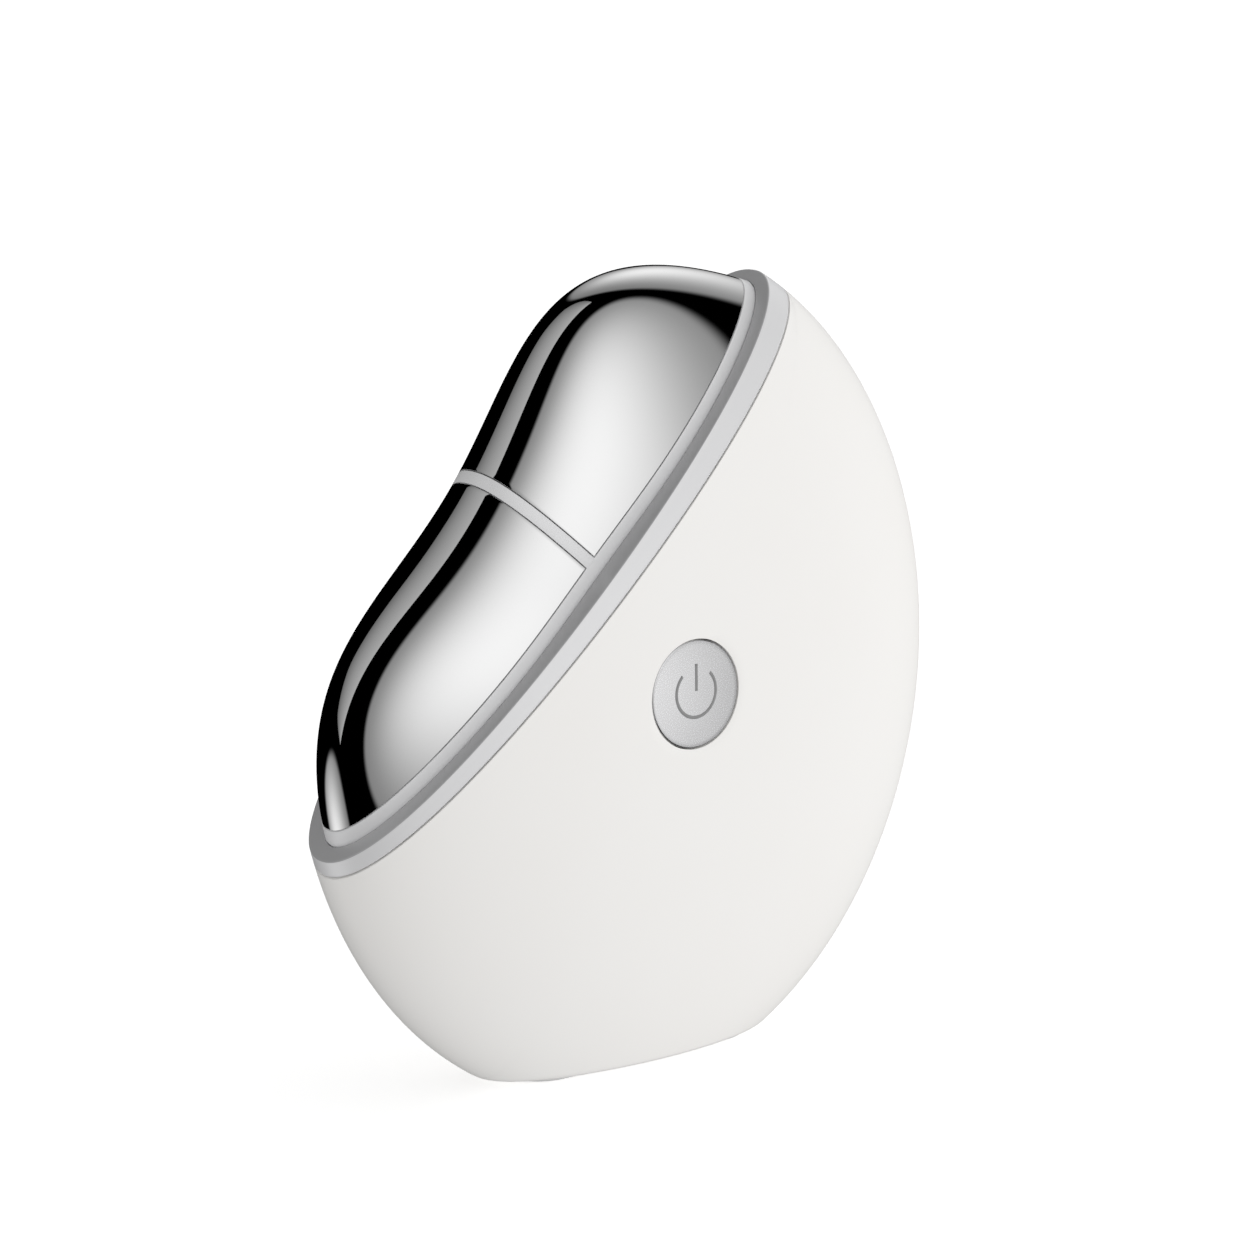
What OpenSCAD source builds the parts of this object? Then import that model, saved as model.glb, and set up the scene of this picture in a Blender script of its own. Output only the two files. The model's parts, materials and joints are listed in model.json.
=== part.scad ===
// Facial toning device: a flat oval housing that stands on a small foot, with a slanted top
// that carries two bright metal electrodes on an insulating carrier.
// +Z is up, the button faces -Y, and the origin is the middle of the foot's underside.

/* [Housing] */
// Width of the oval, seen from the button side
body_w = 78; // [72:1:86]
// Height of the whole oval, before its foot and slanted top are cut off
oval_h = 88.9; // [82:0.1:98]
// Thickness through the middle
body_t = 25; // [24:0.5:28]
// Fullness of the edge, where 2 is an ellipse
fullness = 2.18; // [2.1:0.02:2.3]
// Height of the oval's centre above the housing's flat underside
centre_h = 39.56; // [38:0.1:41]
// Wall thickness
wall = 1.6; // [1.4:0.1:1.8]
// Distance of the seam behind the middle plane
seam_y = 4.5; // [4:0.1:5]

/* [Slanted top] */
// Slant of the cut through the oval, in degrees
cut_tilt = 43.4; // [42:0.1:45]
// Distance of the cut from the oval's centre
cut_d = 13.95; // [13.5:0.05:15]
// Thickness of the seal under the trim ring
seal_t = 0.15; // [0.1:0.05:0.3]
// Height of the trim ring over the cut, at its middle
ring_h = 2.42; // [2:0.01:2.8]
// Slant of the trim ring's top face against the cut, in degrees
ring_tilt = 1.17; // [0.8:0.01:1.5]

/* [Electrodes] */
// Length of the electrode dome at the trim ring
dome_len = 72.9; // [70:0.1:74]
// Width of the dome, before its waist is taken in
dome_w = 20.15; // [19:0.05:20.3]
// Middle of the dome along the slant
dome_mid = 1.97; // [1.5:0.01:2.5]
// Part of the width taken in at the waist
waist_in = 0.072; // [0.05:0.001:0.1]
// Height of the ridge at the middle, before its saddle is taken in
ridge_h = 20; // [18:0.1:21]
// Rise of the ridge from the middle to the upper end
ridge_rise = 9.3; // [8:0.1:10]
// Part of the height taken in at the saddle
saddle_in = 0.36; // [0.3:0.01:0.4]
// Thickness of the electrode shells
shell_t = 0.9; // [0.7:0.1:1.1]
// Height of the carrier's lip that shows under the electrodes
lip_h = 1.4; // [1:0.1:1.8]
// Place of the separator band along the slant
band_s = 1.56; // [1:0.01:2]
// Width of the separator band
band_w = 1.28; // [1:0.01:1.6]
// Shadow gap round each electrode
gap = 0.14; // [0.05:0.01:0.15]

/* [Button] */
// Diameter of the button
button_d = 10.97; // [10:0.01:12]
// Running clearance round the button
button_gap = 0.1; // [0.06:0.01:0.15]
// Travel of the button
travel = 0.3; // [0.25:0.01:0.4]
// Place of the button along X
button_x = -0.5; // [-2:0.1:2]
// Radius of the arc in the power symbol
mark_r = 2.52; // [2.2:0.01:3]
// Width of the symbol's lines
mark_w = 0.33; // [0.25:0.01:0.4]

/* [Foot] */
// Length of the foot pad
pad_len = 30; // [26:0.5:31]
// Width of the foot pad
pad_w = 8.4; // [7:0.1:9]
// Thickness of the foot pad
pad_t = 0.8; // [0.6:0.05:1]
// Height that the pad stands proud of the housing
pad_proud = 0.2; // [0.1:0.05:0.3]

/* [Inside] */
// Thickness of the circuit board
board_t = 1; // [0.8:0.1:1.2]
// Thickness of the battery cell
cell_t = 5; // [4:0.1:5.4]
// Diameter of the vibration motor's can
motor_d = 7; // [6:0.1:7]
// Length of the motor's can
motor_len = 12; // [10:0.5:13]
// Diameter of the screws' threads
screw_d = 1.8; // [1.6:0.1:2]

/* [Hidden] */
$fn = 96;
far = 200;                       // larger than the whole object
bite = 0.01;                     // small overlap where pieces of one solid meet
base_z = pad_proud;              // underside of the housing
oval_z = base_z + centre_h;      // centre of the oval
floor_z = base_z + 3;            // inside of the housing's floor
shell_col = [0.95, 0.945, 0.94];
trim_col = [0.76, 0.76, 0.77];
chrome_col = [0.85, 0.86, 0.87];
steel_col = [0.7, 0.7, 0.72];

// The dome's waist and saddle, each a bell curve along the slant, and its roundness
half_len = dome_len / 2;
waist_s = 2.54;                  // place of the waist
waist_spread = 11.2;
saddle_s = 1.1;                  // place of the saddle
saddle_spread = 24.2;
low_round = 5.6;                 // exponent of the ridge's lower end
high_round = 2.4;                // exponent of its upper end
arch_n = 2.31;                   // exponents of the cross-section
arch_top = 0.95;
tip_z = 0.02;                    // height at which the dome's ends stop, over the ring or the lip

// The electrode carrier and its terminals
core_in = shell_t + 0.15;        // the core's surface, under the dome's
hollow_in = 2.6;                 // the hollow's surface, under the dome's
plug_deep = 5.6;                 // from the ring's top down to the plug's end
plug_wall = 1.4;
boss_d = 5;
terminal_s = [-6, 9];
terminal_d = 2;
terminal_len = 4;
terminal_foot = 0.5;             // thickness of the terminal's flange
spring_in = 0.25;                // how far the terminal stays under the electrode shell

// Walls and joints of the housing
lap = 1.1;                       // depth of the tongue at the seam
lap_play = 0.05;
post_d = 5;
guide_d = 15.6;                  // collar round the button's flange
guide_bore = 13.3;
guide_h = 4.3;
skirt = 2.4;                     // depth of the trim ring's skirt under the cut
skirt_play = 0.08;
seal_in = 0.35;                  // how far the seal lies back from the surface

// Screws, all of one thread
pilot_d = screw_d + 0.02;        // holes that the screws bite in
free_d = screw_d + 0.4;          // holes that they pass through
head_d = 3.2;
head_h = 1.1;
head_room = 1.9;                 // depth of the base screws' pockets
pocket_d = 3.6;

// Places, front to back
button_y = -body_t / 2;          // front of the button
cap_h = 2.9;
flange_y = button_y + 1.85;      // front of the button's flange
flange_d = 12.9;
flange_h = 0.9;
stem_d = 3.2;
board_y = -1.8;                  // front of the circuit board
board_back = board_y + board_t;
switch_h = 3.5;                  // height of the switch's body
stem_end = board_y - switch_h - 0.8;
plunger_d = 3.5;
frame_y = 2.6;                   // front of the inner frame
frame_t = 1.2;
frame_r = 38;                    // half height of the frame's oval
frame_half_w = 33.5;
pad_gap = 0.3;                   // foam between the frame and the cell
cell_y = frame_y + frame_t + pad_gap;

// The power symbol, from the button's middle
mark_gap = 44;                   // half of the arc's open angle
mark_rise = 0.2;                 // the arc's centre
bar_from = 0.36;
bar_len = 2.72;
mark_deep = 0.8;

// The vibration motor: its shaft lies along X
motor_x = -12;
motor_y = -2.2;
motor_z = -28.5;
boot_wall = 0.65;
boot_floor = 0.8;
clip_x = [-11.5, -1.5];          // the frame's two clips that hold the boot
clip_t = 1.6;
clip_h = 9.8;
clip_deep = 2;                   // how far a clip reaches in front of the axis
shaft_d = 1;
weight_d = 6;
weight_len = 4.4;

// Screw places, along X and above the oval's centre
frame_posts = [[24, 22], [-21, -22], [21, -28]];
board_posts = [[-7, -18.4], [26, 2]];
head_posts = [-14, 16];          // along the slant
base_posts = [-12.5, 12.5];
base_post_y = 0.6;
base_tab = [7, 3, 2.8];          // the cover's tabs: width, reach before the screw, height
tab_top = -5.5;                  // top of the frame's tabs, under the cut
tab_t = 1.8;
tab_w = 7;
tab_deep = 3;                    // how far the frame's tabs reach in front of the middle plane

// The board's outline, and each part's place on it and size
board_edge = [[-18, -18], [-15, -21], [14, -21], [27, -23.6], [29.6, -23.6], [33.4, -15.4],
    [31, -8], [31, 6], [24, 15.5], [12, 16], [-18, -11]];
switch_w = 6;
led_x = [-5.2, 5.2];             // from the button's axis
led_size = [1.6, 0.8, 3.2];
chip_at = [12, -8];
chip_size = [7, 1, 7];
transformer_at = [21, -14];
transformer_size = [8.6, 4.2, 8.6];
winding_d = 6.4;
capacitors_at = [[2, -12], [2, -16], [6, -16], [16, 2], [16, 6], [20, 6]];
capacitor_size = [2, 1.2, 1.2];
inductor_at = [22, -8];
inductor_size = [5, 2.4, 5];
socket_at = [-8, -12];
socket_size = [5, 3, 4.4];
plug_size = [1.8, 2, 3];         // the part outside the socket, thickness and height
plug_in = 2.6;                   // how far it goes in
cell_len = 30;
cell_w = 20;
cell_top = -7;                   // under the cut

// The charging port, on the rim below the right-hand side
port_t = -28;
port_at = [body_w / 2 * cos(port_t), oval_h / 2 * sin(port_t)];
port_turn = atan2(sin(port_t) / oval_h, cos(port_t) / body_w);
port_w = 8.94;
port_h = 3.26;
port_len = 7.35;
port_wall = 0.3;
port_floor = 0.8;
port_deep = 1;                   // from the rim to the receptacle's mouth
port_y = board_back + port_h / 2;
tongue_size = [port_len - 1.4, 0.7, 6.7];

// ---- frames of reference -------------------------------------------------------------

module at_centre() translate([0, 0, oval_z]) children();
module on_cut() at_centre() rotate([0, -cut_tilt, 0]) translate([0, 0, cut_d]) children();
module on_ring() on_cut() translate([0, 0, ring_h]) rotate([0, -ring_tilt, 0]) children();
// local +X points out of the charging port
module at_port() at_centre() translate([port_at[0], port_y, port_at[1]]) rotate([0, -port_turn, 0])
    children();
// local +Z points along +Y, away from the button side
module facing_back(x, y, z) at_centre() translate([x, y, z]) rotate([-90, 0, 0]) children();

// ---- shared shapes -------------------------------------------------------------------

// The oval: a fuller-than-elliptic section turned about the Y axis and stretched to the width
module oval(inset = 0) {
    r = oval_h / 2 - inset;
    t = body_t / 2 - inset;
    k = 2 / fullness;
    edge = [for (a = [-90:7.5:90]) [r * pow(abs(cos(a)), k), t * sign(a) * pow(abs(sin(a)), k)]];
    at_centre() scale([(body_w / 2 - inset) / r, 1, 1]) rotate([90, 0, 0])
        rotate_extrude() polygon(edge);
}

module slab(z0, z1) translate([-far / 2, -far / 2, z0]) cube([far, far, z1 - z0]);
module behind(y) translate([-far / 2, y, -far / 2]) cube([far, far, far]);
module in_front(y) translate([-far / 2, y - far, -far / 2]) cube([far, far, far]);

// The space inside the walls
module cavity(inset = wall) intersection() { oval(inset); slab(floor_z, far); }

// The oval between its flat underside and the slanted cut
module trimmed_oval() intersection() {
    oval();
    slab(base_z, far);
    on_cut() slab(-far, 0);
}

module stadium(length, width, h) {
    translate([-(length - width) / 2, -width / 2, 0]) cube([length - width, width, h]);
    for (s = [-1, 1]) translate([s * (length - width) / 2, 0, 0]) cylinder(d = width, h = h);
}

// A screw that points down, with its head's underside at z = 0
module screw(length) difference() {
    union() {
        translate([0, 0, -length]) cylinder(d = screw_d, h = length + bite);
        cylinder(d = head_d, h = head_h);
    }
    translate([0, 0, head_h - 0.6])
        for (a = [0, 90]) rotate([0, 0, a]) cube([0.4, 1.8, 2], center = true);
}

// A round wire along a list of points that never runs along up
function unit(v) = v / norm(v);
function heading(p, i) = unit(p[min(i + 1, len(p) - 1)] - p[max(i - 1, 0)]);
module wire(p, d, up, sides = 6) {
    n = len(p);
    turns = [for (k = [0:sides - 1]) 360 * k / sides];
    rings = [for (i = [0:n - 1]) let (w = heading(p, i), u = unit(cross(w, up)), v = cross(w, u))
        for (a = turns) p[i] + d / 2 * (cos(a) * u + sin(a) * v)];
    walls = [for (i = [0:n - 2]) for (k = [0:sides - 1])
        let (a = i * sides + k, b = i * sides + (k + 1) % sides)
        each [[a, a + sides, b + sides], [a, b + sides, b]]];
    start = [for (k = [0:sides - 1]) k];
    end = [for (k = [sides - 1:-1:0]) (n - 1) * sides + k];
    polyhedron(rings, concat(walls, [start], [end]), convexity = 4);
}

// ---- the electrode dome --------------------------------------------------------------

function bell(s, place, spread) = exp(-pow((s - place) / spread, 2));
// Half width at s along the slant: half an ellipse with a shallow waist
function half_w(s, inset = 0) = let (t = (s - dome_mid) / (half_len - inset))
    (dome_w / 2 * (1 - waist_in * bell(s, waist_s, waist_spread)) - inset) * sqrt(max(0, 1 - t * t));
// Height of the ridge: a rising line with a saddle, rounded off at both ends
function ridge(s, inset = 0) = let (t = (s - dome_mid) / (half_len - inset))
    (ridge_h + ridge_rise * t - inset) * (1 - pow(abs(t), t < 0 ? low_round : high_round))
    * (1 - saddle_in * bell(s, saddle_s, saddle_spread));
// Part of the ridge's height at u, the part of the half width, and the u for a part of the height
function arch(u) = pow(max(0, 1 - pow(abs(u), arch_n)), arch_top);
function arch_u(z) = pow(max(0, 1 - pow(z, 1 / arch_top)), 1 / arch_n);
// The s of a dome end where the ridge comes down to height z, found by halving
function end_s(z, sgn, inset, lo = 0.5, hi = 1, n = 0) = let (m = (lo + hi) / 2,
    s = dome_mid + sgn * m * (half_len - inset))
    n > 20 ? s : ridge(s, inset) > z ? end_s(z, sgn, inset, m, hi, n + 1)
    : end_s(z, sgn, inset, lo, m, n + 1);
// Places between two ends, closer together near an end that is a dome's tip
function places(s0, s1, n, tip0, tip1) = [for (i = [0:n]) let (a = 180 * i / n,
    x = tip0 && tip1 ? (1 - cos(a)) / 2 : tip0 ? 1 - cos(a / 2) : tip1 ? sin(a / 2) : i / n)
    s0 + (s1 - s0) * x];
// One row of points across the dome, above height z
function dome_row(s, z, inset, cols) = let (h = ridge(s, inset), b = arch_u(min(1, z / h)))
    [for (i = [0:cols]) let (u = -b * cos(180 * i / cols)) [s, u * half_w(s, inset), h * arch(u)]];

// Solid between height z and the dome's surface, from s0 to s1
module dome_solid(s0, s1, rows, cols, inset, z, tip0 = true, tip1 = true) {
    s = places(s0, s1, rows, tip0, tip1);
    top = [for (v = s) each dome_row(v, z, inset, cols)];
    w = cols + 1;
    skin = [for (j = [0:rows - 1]) for (i = [0:cols - 1])
        [j * w + i, j * w + i + 1, (j + 1) * w + i + 1, (j + 1) * w + i]];
    under = [for (j = [0:rows - 1]) [j * w, (j + 1) * w, (j + 1) * w + cols, j * w + cols]];
    polyhedron(top, concat(skin, under, [[for (i = [cols:-1:0]) i]],
        [[for (i = [0:cols]) rows * w + i]]), convexity = 6);
}

// Shell under the dome's surface, open below height z
module dome_shell(tip_side, rows = 26, cols = 20) {
    edge_s = band_s + tip_side * (band_w / 2 + gap);
    insets = [0, shell_t];
    w = cols + 1;
    rows_of = [for (e = insets) places(end_s(lip_h + tip_z, tip_side, e), edge_s, rows, true, false)];
    pts = [for (k = [0, 1]) for (v = rows_of[k]) each dome_row(v, lip_h, insets[k], cols)];
    n = (rows + 1) * w;
    skins = [for (k = [0, 1]) for (j = [0:rows - 1]) for (i = [0:cols - 1])
        let (a = k * n + j * w + i) k == 0 ? [a, a + 1, a + w + 1, a + w] : [a, a + w, a + w + 1, a + 1]];
    rims = [for (j = [0:rows - 1]) for (i = [0, cols]) let (a = j * w + i)
        i == 0 ? [a, a + w, a + w + n, a + n] : [a, a + n, a + w + n, a + w]];
    ends = [for (j = [0, rows]) for (i = [0:cols - 1]) let (a = j * w + i)
        j == 0 ? [a, a + n, a + n + 1, a + 1] : [a, a + 1, a + n + 1, a + n]];
    faces = concat(skins, rims, ends);
    polyhedron(pts, tip_side < 0 ? faces : [for (f = faces) [f[3], f[2], f[1], f[0]]], convexity = 6);
}

// Outline of the dome at the trim ring, grown or shrunk by off
module dome_outline(off = 0) {
    s = [for (i = [0:36]) dome_mid - (half_len + off) * cos(5 * i)];
    near = [for (v = s) [v, -half_w(v, -off)]];
    away = [for (i = [len(s) - 2:-1:1]) [s[i], half_w(s[i], -off)]];
    polygon(concat(near, away));
}

// ---- housing -------------------------------------------------------------------------

module frame_posts_solid() for (p = frame_posts) facing_back(p[0], -far, p[1])
    cylinder(d = post_d, h = far + frame_y);

module front_shell() color(shell_col) difference() {
    union() {
        difference() {
            intersection() {
                trimmed_oval();
                in_front(seam_y);
            }
            cavity();
            intersection() {
                cavity(wall / 2);
                behind(seam_y - lap - 2 * lap_play);
            }
        }
        intersection() {
            union() {
                frame_posts_solid();
                difference() {
                    facing_back(button_x, button_y, 0) cylinder(d = guide_d, h = guide_h);
                    facing_back(button_x, button_y, 0) cylinder(d = guide_bore, h = guide_h + 1);
                }
            }
            oval(wall / 2);
        }
    }
    facing_back(button_x, button_y - 1, 0) cylinder(d = button_d + 2 * button_gap, h = 4);
    for (p = frame_posts) facing_back(p[0], frame_y - 7, p[1]) cylinder(d = pilot_d, h = 8);
    for (x = base_posts) translate([x, base_post_y, 0]) {
        cylinder(d = free_d, h = far / 4);
        cylinder(d = pocket_d, h = base_z + head_room);
    }
    at_port() translate([-5, 0, 0]) rotate([0, 90, 0]) stadium(port_w + 0.5, port_h + 0.5, 10);
    foot_recess();
}

module foot_recess() translate([0, 0, -1])
    stadium(pad_len + 0.2, pad_w + 0.2, 1 + pad_t);

module back_cover() color(shell_col) difference() {
    union() {
        difference() {
            intersection() {
                trimmed_oval();
                behind(seam_y);
            }
            cavity();
        }
        difference() {
            intersection() {
                cavity(wall / 2 + lap_play);
                behind(seam_y - lap);
                in_front(seam_y + 0.3);
                on_cut() slab(-far, -3);
            }
            cavity();
        }
        for (x = base_posts)
            translate([x - base_tab[0] / 2, base_post_y - base_tab[1], floor_z + lap_play])
            cube([base_tab[0], seam_y + 1 - base_post_y + base_tab[1], base_tab[2]]);
    }
    for (x = base_posts) translate([x, base_post_y, 0]) cylinder(d = pilot_d, h = 9);
    foot_recess();
}

module foot_pad() color([0.8, 0.8, 0.8]) stadium(pad_len, pad_w, pad_t);

module rim_seal() color([0.45, 0.45, 0.46]) difference() {
    intersection() {
        oval(seal_in);
        on_cut() slab(0, seal_t);
    }
    oval(wall - 0.1);
}

module trim_ring() color(trim_col) difference() {
    union() {
        intersection() {
            oval();
            on_cut() slab(seal_t, far);
            on_ring() slab(-far, 0);
        }
        intersection() {
            oval(wall + skirt_play);
            on_cut() slab(-skirt, seal_t + 0.1);
        }
    }
    on_ring() translate([0, 0, -8]) linear_extrude(12) dome_outline(0.06);
}

// ---- electrode head ------------------------------------------------------------------

module electrode_carrier() color([0.78, 0.78, 0.79]) difference() {
    on_ring() {
        whole_dome(28, 14, core_in);
        intersection() {
            whole_dome(40, 20, 0);
            slab(-1, lip_h - gap);
        }
        dome_solid(band_s - band_w / 2, band_s + band_w / 2, 2, 28, 0, 0, false, false);
        translate([0, 0, -plug_deep]) linear_extrude(plug_deep + bite) dome_outline(-0.02);
    }
    difference() {
        on_ring() {
            whole_dome(24, 12, hollow_in);
            translate([0, 0, -far / 2]) linear_extrude(far / 2 + bite) dome_outline(-plug_wall);
        }
        for (s = head_posts) on_cut() translate([s, 0, tab_top]) cylinder(d = boss_d, h = 30);
    }
    for (s = head_posts) on_cut() translate([s, 0, tab_top - 1]) cylinder(d = pilot_d, h = 7);
    for (s = terminal_s) on_ring() translate([s, 0, 0]) cylinder(d = terminal_d + 0.1, h = 30);
}

// The whole dome from tip to tip, its surface drawn in
module whole_dome(rows, cols, inset)
    dome_solid(end_s(tip_z, -1, inset), end_s(tip_z, 1, inset), rows, cols, inset, 0);

module upper_electrode() color(chrome_col) on_ring() dome_shell(1);
module lower_electrode() color(chrome_col) on_ring() dome_shell(-1);

// Height of a terminal's underside over the ring's top
function terminal_z(s) = ridge(s, shell_t) - spring_in - terminal_len - terminal_foot;
module electrode_terminals() color([0.8, 0.65, 0.3]) on_ring()
    for (s = terminal_s) translate([s, 0, terminal_z(s)]) {
        cylinder(d = terminal_d, h = terminal_foot + terminal_len);
        cylinder(d = 3.2, h = terminal_foot + bite);
    }

// ---- button --------------------------------------------------------------------------

// The power symbol: an open arc and a bar, from the button's face back to a depth
module symbol(grow = 0) facing_back(button_x, button_y, 0) mirror([0, 1, 0]) translate([0, 0, -1]) {
    translate([0, mark_rise, 0]) rotate([0, 0, 90 + mark_gap])
        rotate_extrude(angle = 360 - 2 * mark_gap) translate([mark_r - mark_w / 2 - grow, 0])
        square([mark_w + 2 * grow, mark_deep + grow + 1]);
    translate([-mark_w / 2 - grow, bar_from - grow, 0])
        cube([mark_w + 2 * grow, bar_len + 2 * grow, mark_deep + grow + 1]);
}

module power_button() color([0.82, 0.82, 0.82]) difference() {
    union() {
        facing_back(button_x, button_y, 0) cylinder(d = button_d, h = cap_h);
        facing_back(button_x, flange_y, 0) cylinder(d = flange_d, h = flange_h);
        facing_back(button_x, button_y + cap_h - 0.1, 0)
            cylinder(d = stem_d, h = stem_end - button_y - cap_h + 0.1);
    }
    symbol(bite);
}

module power_symbol() color([0.55, 0.55, 0.55]) intersection() {
    symbol();
    behind(button_y);
}

// ---- inside --------------------------------------------------------------------------

module frame_plate() intersection() {
    at_centre() translate([0, frame_y, 0]) scale([frame_half_w / frame_r, 1, 1]) rotate([-90, 0, 0])
        cylinder(r = frame_r, h = frame_t);
    on_cut() slab(-far, tab_top);
    slab(floor_z + 4.5, far);
}

// A clip round the motor's boot, open towards the button side
module motor_clip() difference() {
    translate([0, -clip_deep, -clip_h / 2])
        cube([clip_t, frame_y + clip_deep - motor_y + bite, clip_h]);
    translate([-1, 0, 0]) rotate([0, 90, 0]) cylinder(d = motor_d + 2 * boot_wall + 0.1, h = 4);
    translate([-1, -6, -3.1]) cube([4, 6, 6.2]);
}

module inner_frame() color([0.3, 0.32, 0.35]) difference() {
    union() {
        frame_plate();
        for (s = head_posts) on_cut() translate([s - tab_w / 2, -tab_deep, tab_top - tab_t])
            cube([tab_w, frame_y + tab_deep + bite, tab_t]);
        for (p = board_posts) facing_back(p[0], board_back, p[1])
            cylinder(d = 4, h = frame_y - board_back + bite);
        for (x = clip_x) at_centre() translate([x, motor_y, motor_z]) motor_clip();
    }
    for (p = frame_posts) facing_back(p[0], frame_y - 1, p[1]) cylinder(d = free_d, h = 4);
    for (p = board_posts) facing_back(p[0], board_y, p[1]) cylinder(d = pilot_d, h = 4.5);
    for (s = head_posts) on_cut() translate([s, 0, tab_top - 3]) cylinder(d = free_d, h = 4);
    // windows that save weight and let the leads through
    at_centre() translate([-18.5, frame_y - 1, -19]) cube([6, 4, 6]);
    at_centre() translate([2, frame_y - 1, -27]) cube([14, 4, 5]);
}

module main_board() color([0.1, 0.35, 0.2]) difference() {
    at_centre() translate([0, board_back, 0]) rotate([90, 0, 0])
        linear_extrude(board_t) polygon(board_edge);
    for (p = board_posts) facing_back(p[0], board_y - 1, p[1]) cylinder(d = screw_d + 0.3, h = 3);
}

// A part on the front of the board, and one on its back, at p = [along X, above the centre]
module on_front(p, size) at_centre()
    translate([p[0] - size[0] / 2, board_y - size[1], p[1] - size[2] / 2]) cube(size);
module on_back(p, size) at_centre()
    translate([p[0] - size[0] / 2, board_back, p[1] - size[2] / 2]) cube(size);

module switch_body() color([0.15, 0.15, 0.15]) difference() {
    on_front([button_x, 0], [switch_w, switch_h, switch_w]);
    facing_back(button_x, board_y - switch_h - 1, 0) cylinder(d = plunger_d + 0.06, h = 2.6);
}
module switch_plunger() color([0.9, 0.9, 0.88])
    facing_back(button_x, stem_end, 0) cylinder(d = plunger_d, h = 2);

module board_leds() color([1, 0.95, 0.8])
    for (x = led_x) on_front([button_x + x, 0], led_size);
module control_chip() color([0.12, 0.12, 0.13]) on_front(chip_at, chip_size);
module pulse_transformer() color([0.75, 0.6, 0.2]) {
    on_front(transformer_at, transformer_size);
    facing_back(transformer_at[0], board_y - transformer_size[1] - 0.8, transformer_at[1])
        cylinder(d = winding_d, h = 1);
}
module board_capacitors() color([0.7, 0.6, 0.45])
    for (p = capacitors_at) on_front(p, capacitor_size);
module charge_inductor() color([0.2, 0.2, 0.2]) on_back(inductor_at, inductor_size);

module battery_socket() color([0.93, 0.92, 0.88]) difference() {
    on_back(socket_at, socket_size);
    plug_block(plug_in + 0.1, 0.02);
}
// The plug's block, pushed into its socket from the left
module plug_block(deep, grow = 0) at_centre()
    translate([socket_at[0] - socket_size[0] / 2 - plug_size[0], board_back + 0.5 - grow,
        socket_at[1] - plug_size[2] / 2 - grow])
    cube([plug_size[0] + deep, plug_size[1] + 2 * grow, plug_size[2] + 2 * grow]);
module battery_plug() color([0.97, 0.97, 0.95]) plug_block(plug_in);

// The cell lies along the slant, behind the frame
module battery_cell() color([0.6, 0.65, 0.7])
    on_cut() translate([-cell_len / 2, cell_y, cell_top - cell_w]) {
    cube([cell_len, cell_t, cell_w]);
    translate([-1, cell_t - 1.3, 6]) cube([1 + bite, 0.8, 8]);
}
module battery_pad() color([0.9, 0.9, 0.4]) on_cut()
    translate([1 - cell_len / 2, frame_y + frame_t, cell_top - cell_w + 1])
    cube([cell_len - 2, pad_gap, cell_w - 2]);

module usb_receptacle() color(steel_col) at_port()
    translate([-port_deep - port_len, 0, 0]) rotate([0, 90, 0]) difference() {
    stadium(port_w, port_h, port_len);
    translate([0, 0, port_floor])
        stadium(port_w - 2 * port_wall, port_h - 2 * port_wall, port_len);
}
module usb_tongue() color([0.1, 0.1, 0.1]) at_port()
    translate([port_floor - port_deep - port_len, -tongue_size[1] / 2, -tongue_size[2] / 2])
    cube(tongue_size);

// ---- vibration motor -----------------------------------------------------------------

// local +Z is the motor's shaft, which points along +X
module at_motor() at_centre() translate([motor_x, motor_y, motor_z]) rotate([0, 90, 0]) children();

module motor_boot() color([0.2, 0.2, 0.2]) at_motor() difference() {
    cylinder(d = motor_d + 2 * boot_wall, h = motor_len - 0.5);
    translate([0, 0, boot_floor]) cylinder(d = motor_d, h = motor_len);
    translate([0, 0, -1]) cylinder(d = 3, h = 3);
}
module motor_can() color(steel_col) at_motor() translate([0, 0, boot_floor]) difference() {
    union() {
        cylinder(d = motor_d - 0.02, h = motor_len);
        translate([0, 0, motor_len - bite]) cylinder(d = 2.4, h = 0.6);
    }
    translate([0, 0, 1]) cylinder(d = shaft_d + 0.04, h = motor_len);
}
module motor_shaft() color([0.8, 0.8, 0.8]) at_motor() translate([0, 0, boot_floor + 1.4])
    cylinder(d = shaft_d, h = motor_len + 4.8);
module eccentric_weight() color([0.45, 0.45, 0.47])
    at_motor() translate([0, 0, motor_len + 2]) difference() {
    cylinder(d = weight_d, h = weight_len);
    translate([0, 0, -1]) cylinder(d = shaft_d, h = weight_len + 2);
    translate([-weight_d, 1, -1]) cube([2 * weight_d, weight_d, weight_len + 2]);
}

// ---- leads, held inside the housing --------------------------------------------------

function inside(points) = [for (p = points) p + [0, 0, oval_z]];
// A point given along the slant, across it and above the cut
function slanted(s, y, z) = [s * cos(cut_tilt) - (z + cut_d) * sin(cut_tilt), y,
    s * sin(cut_tilt) + (z + cut_d) * cos(cut_tilt)];

// The underside of a terminal, as such a point
function under_terminal(s) = let (z = terminal_z(s) - 0.06)
    slanted(s * cos(ring_tilt) - z * sin(ring_tilt), 0,
        ring_h + s * sin(ring_tilt) + z * cos(ring_tilt));

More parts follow.
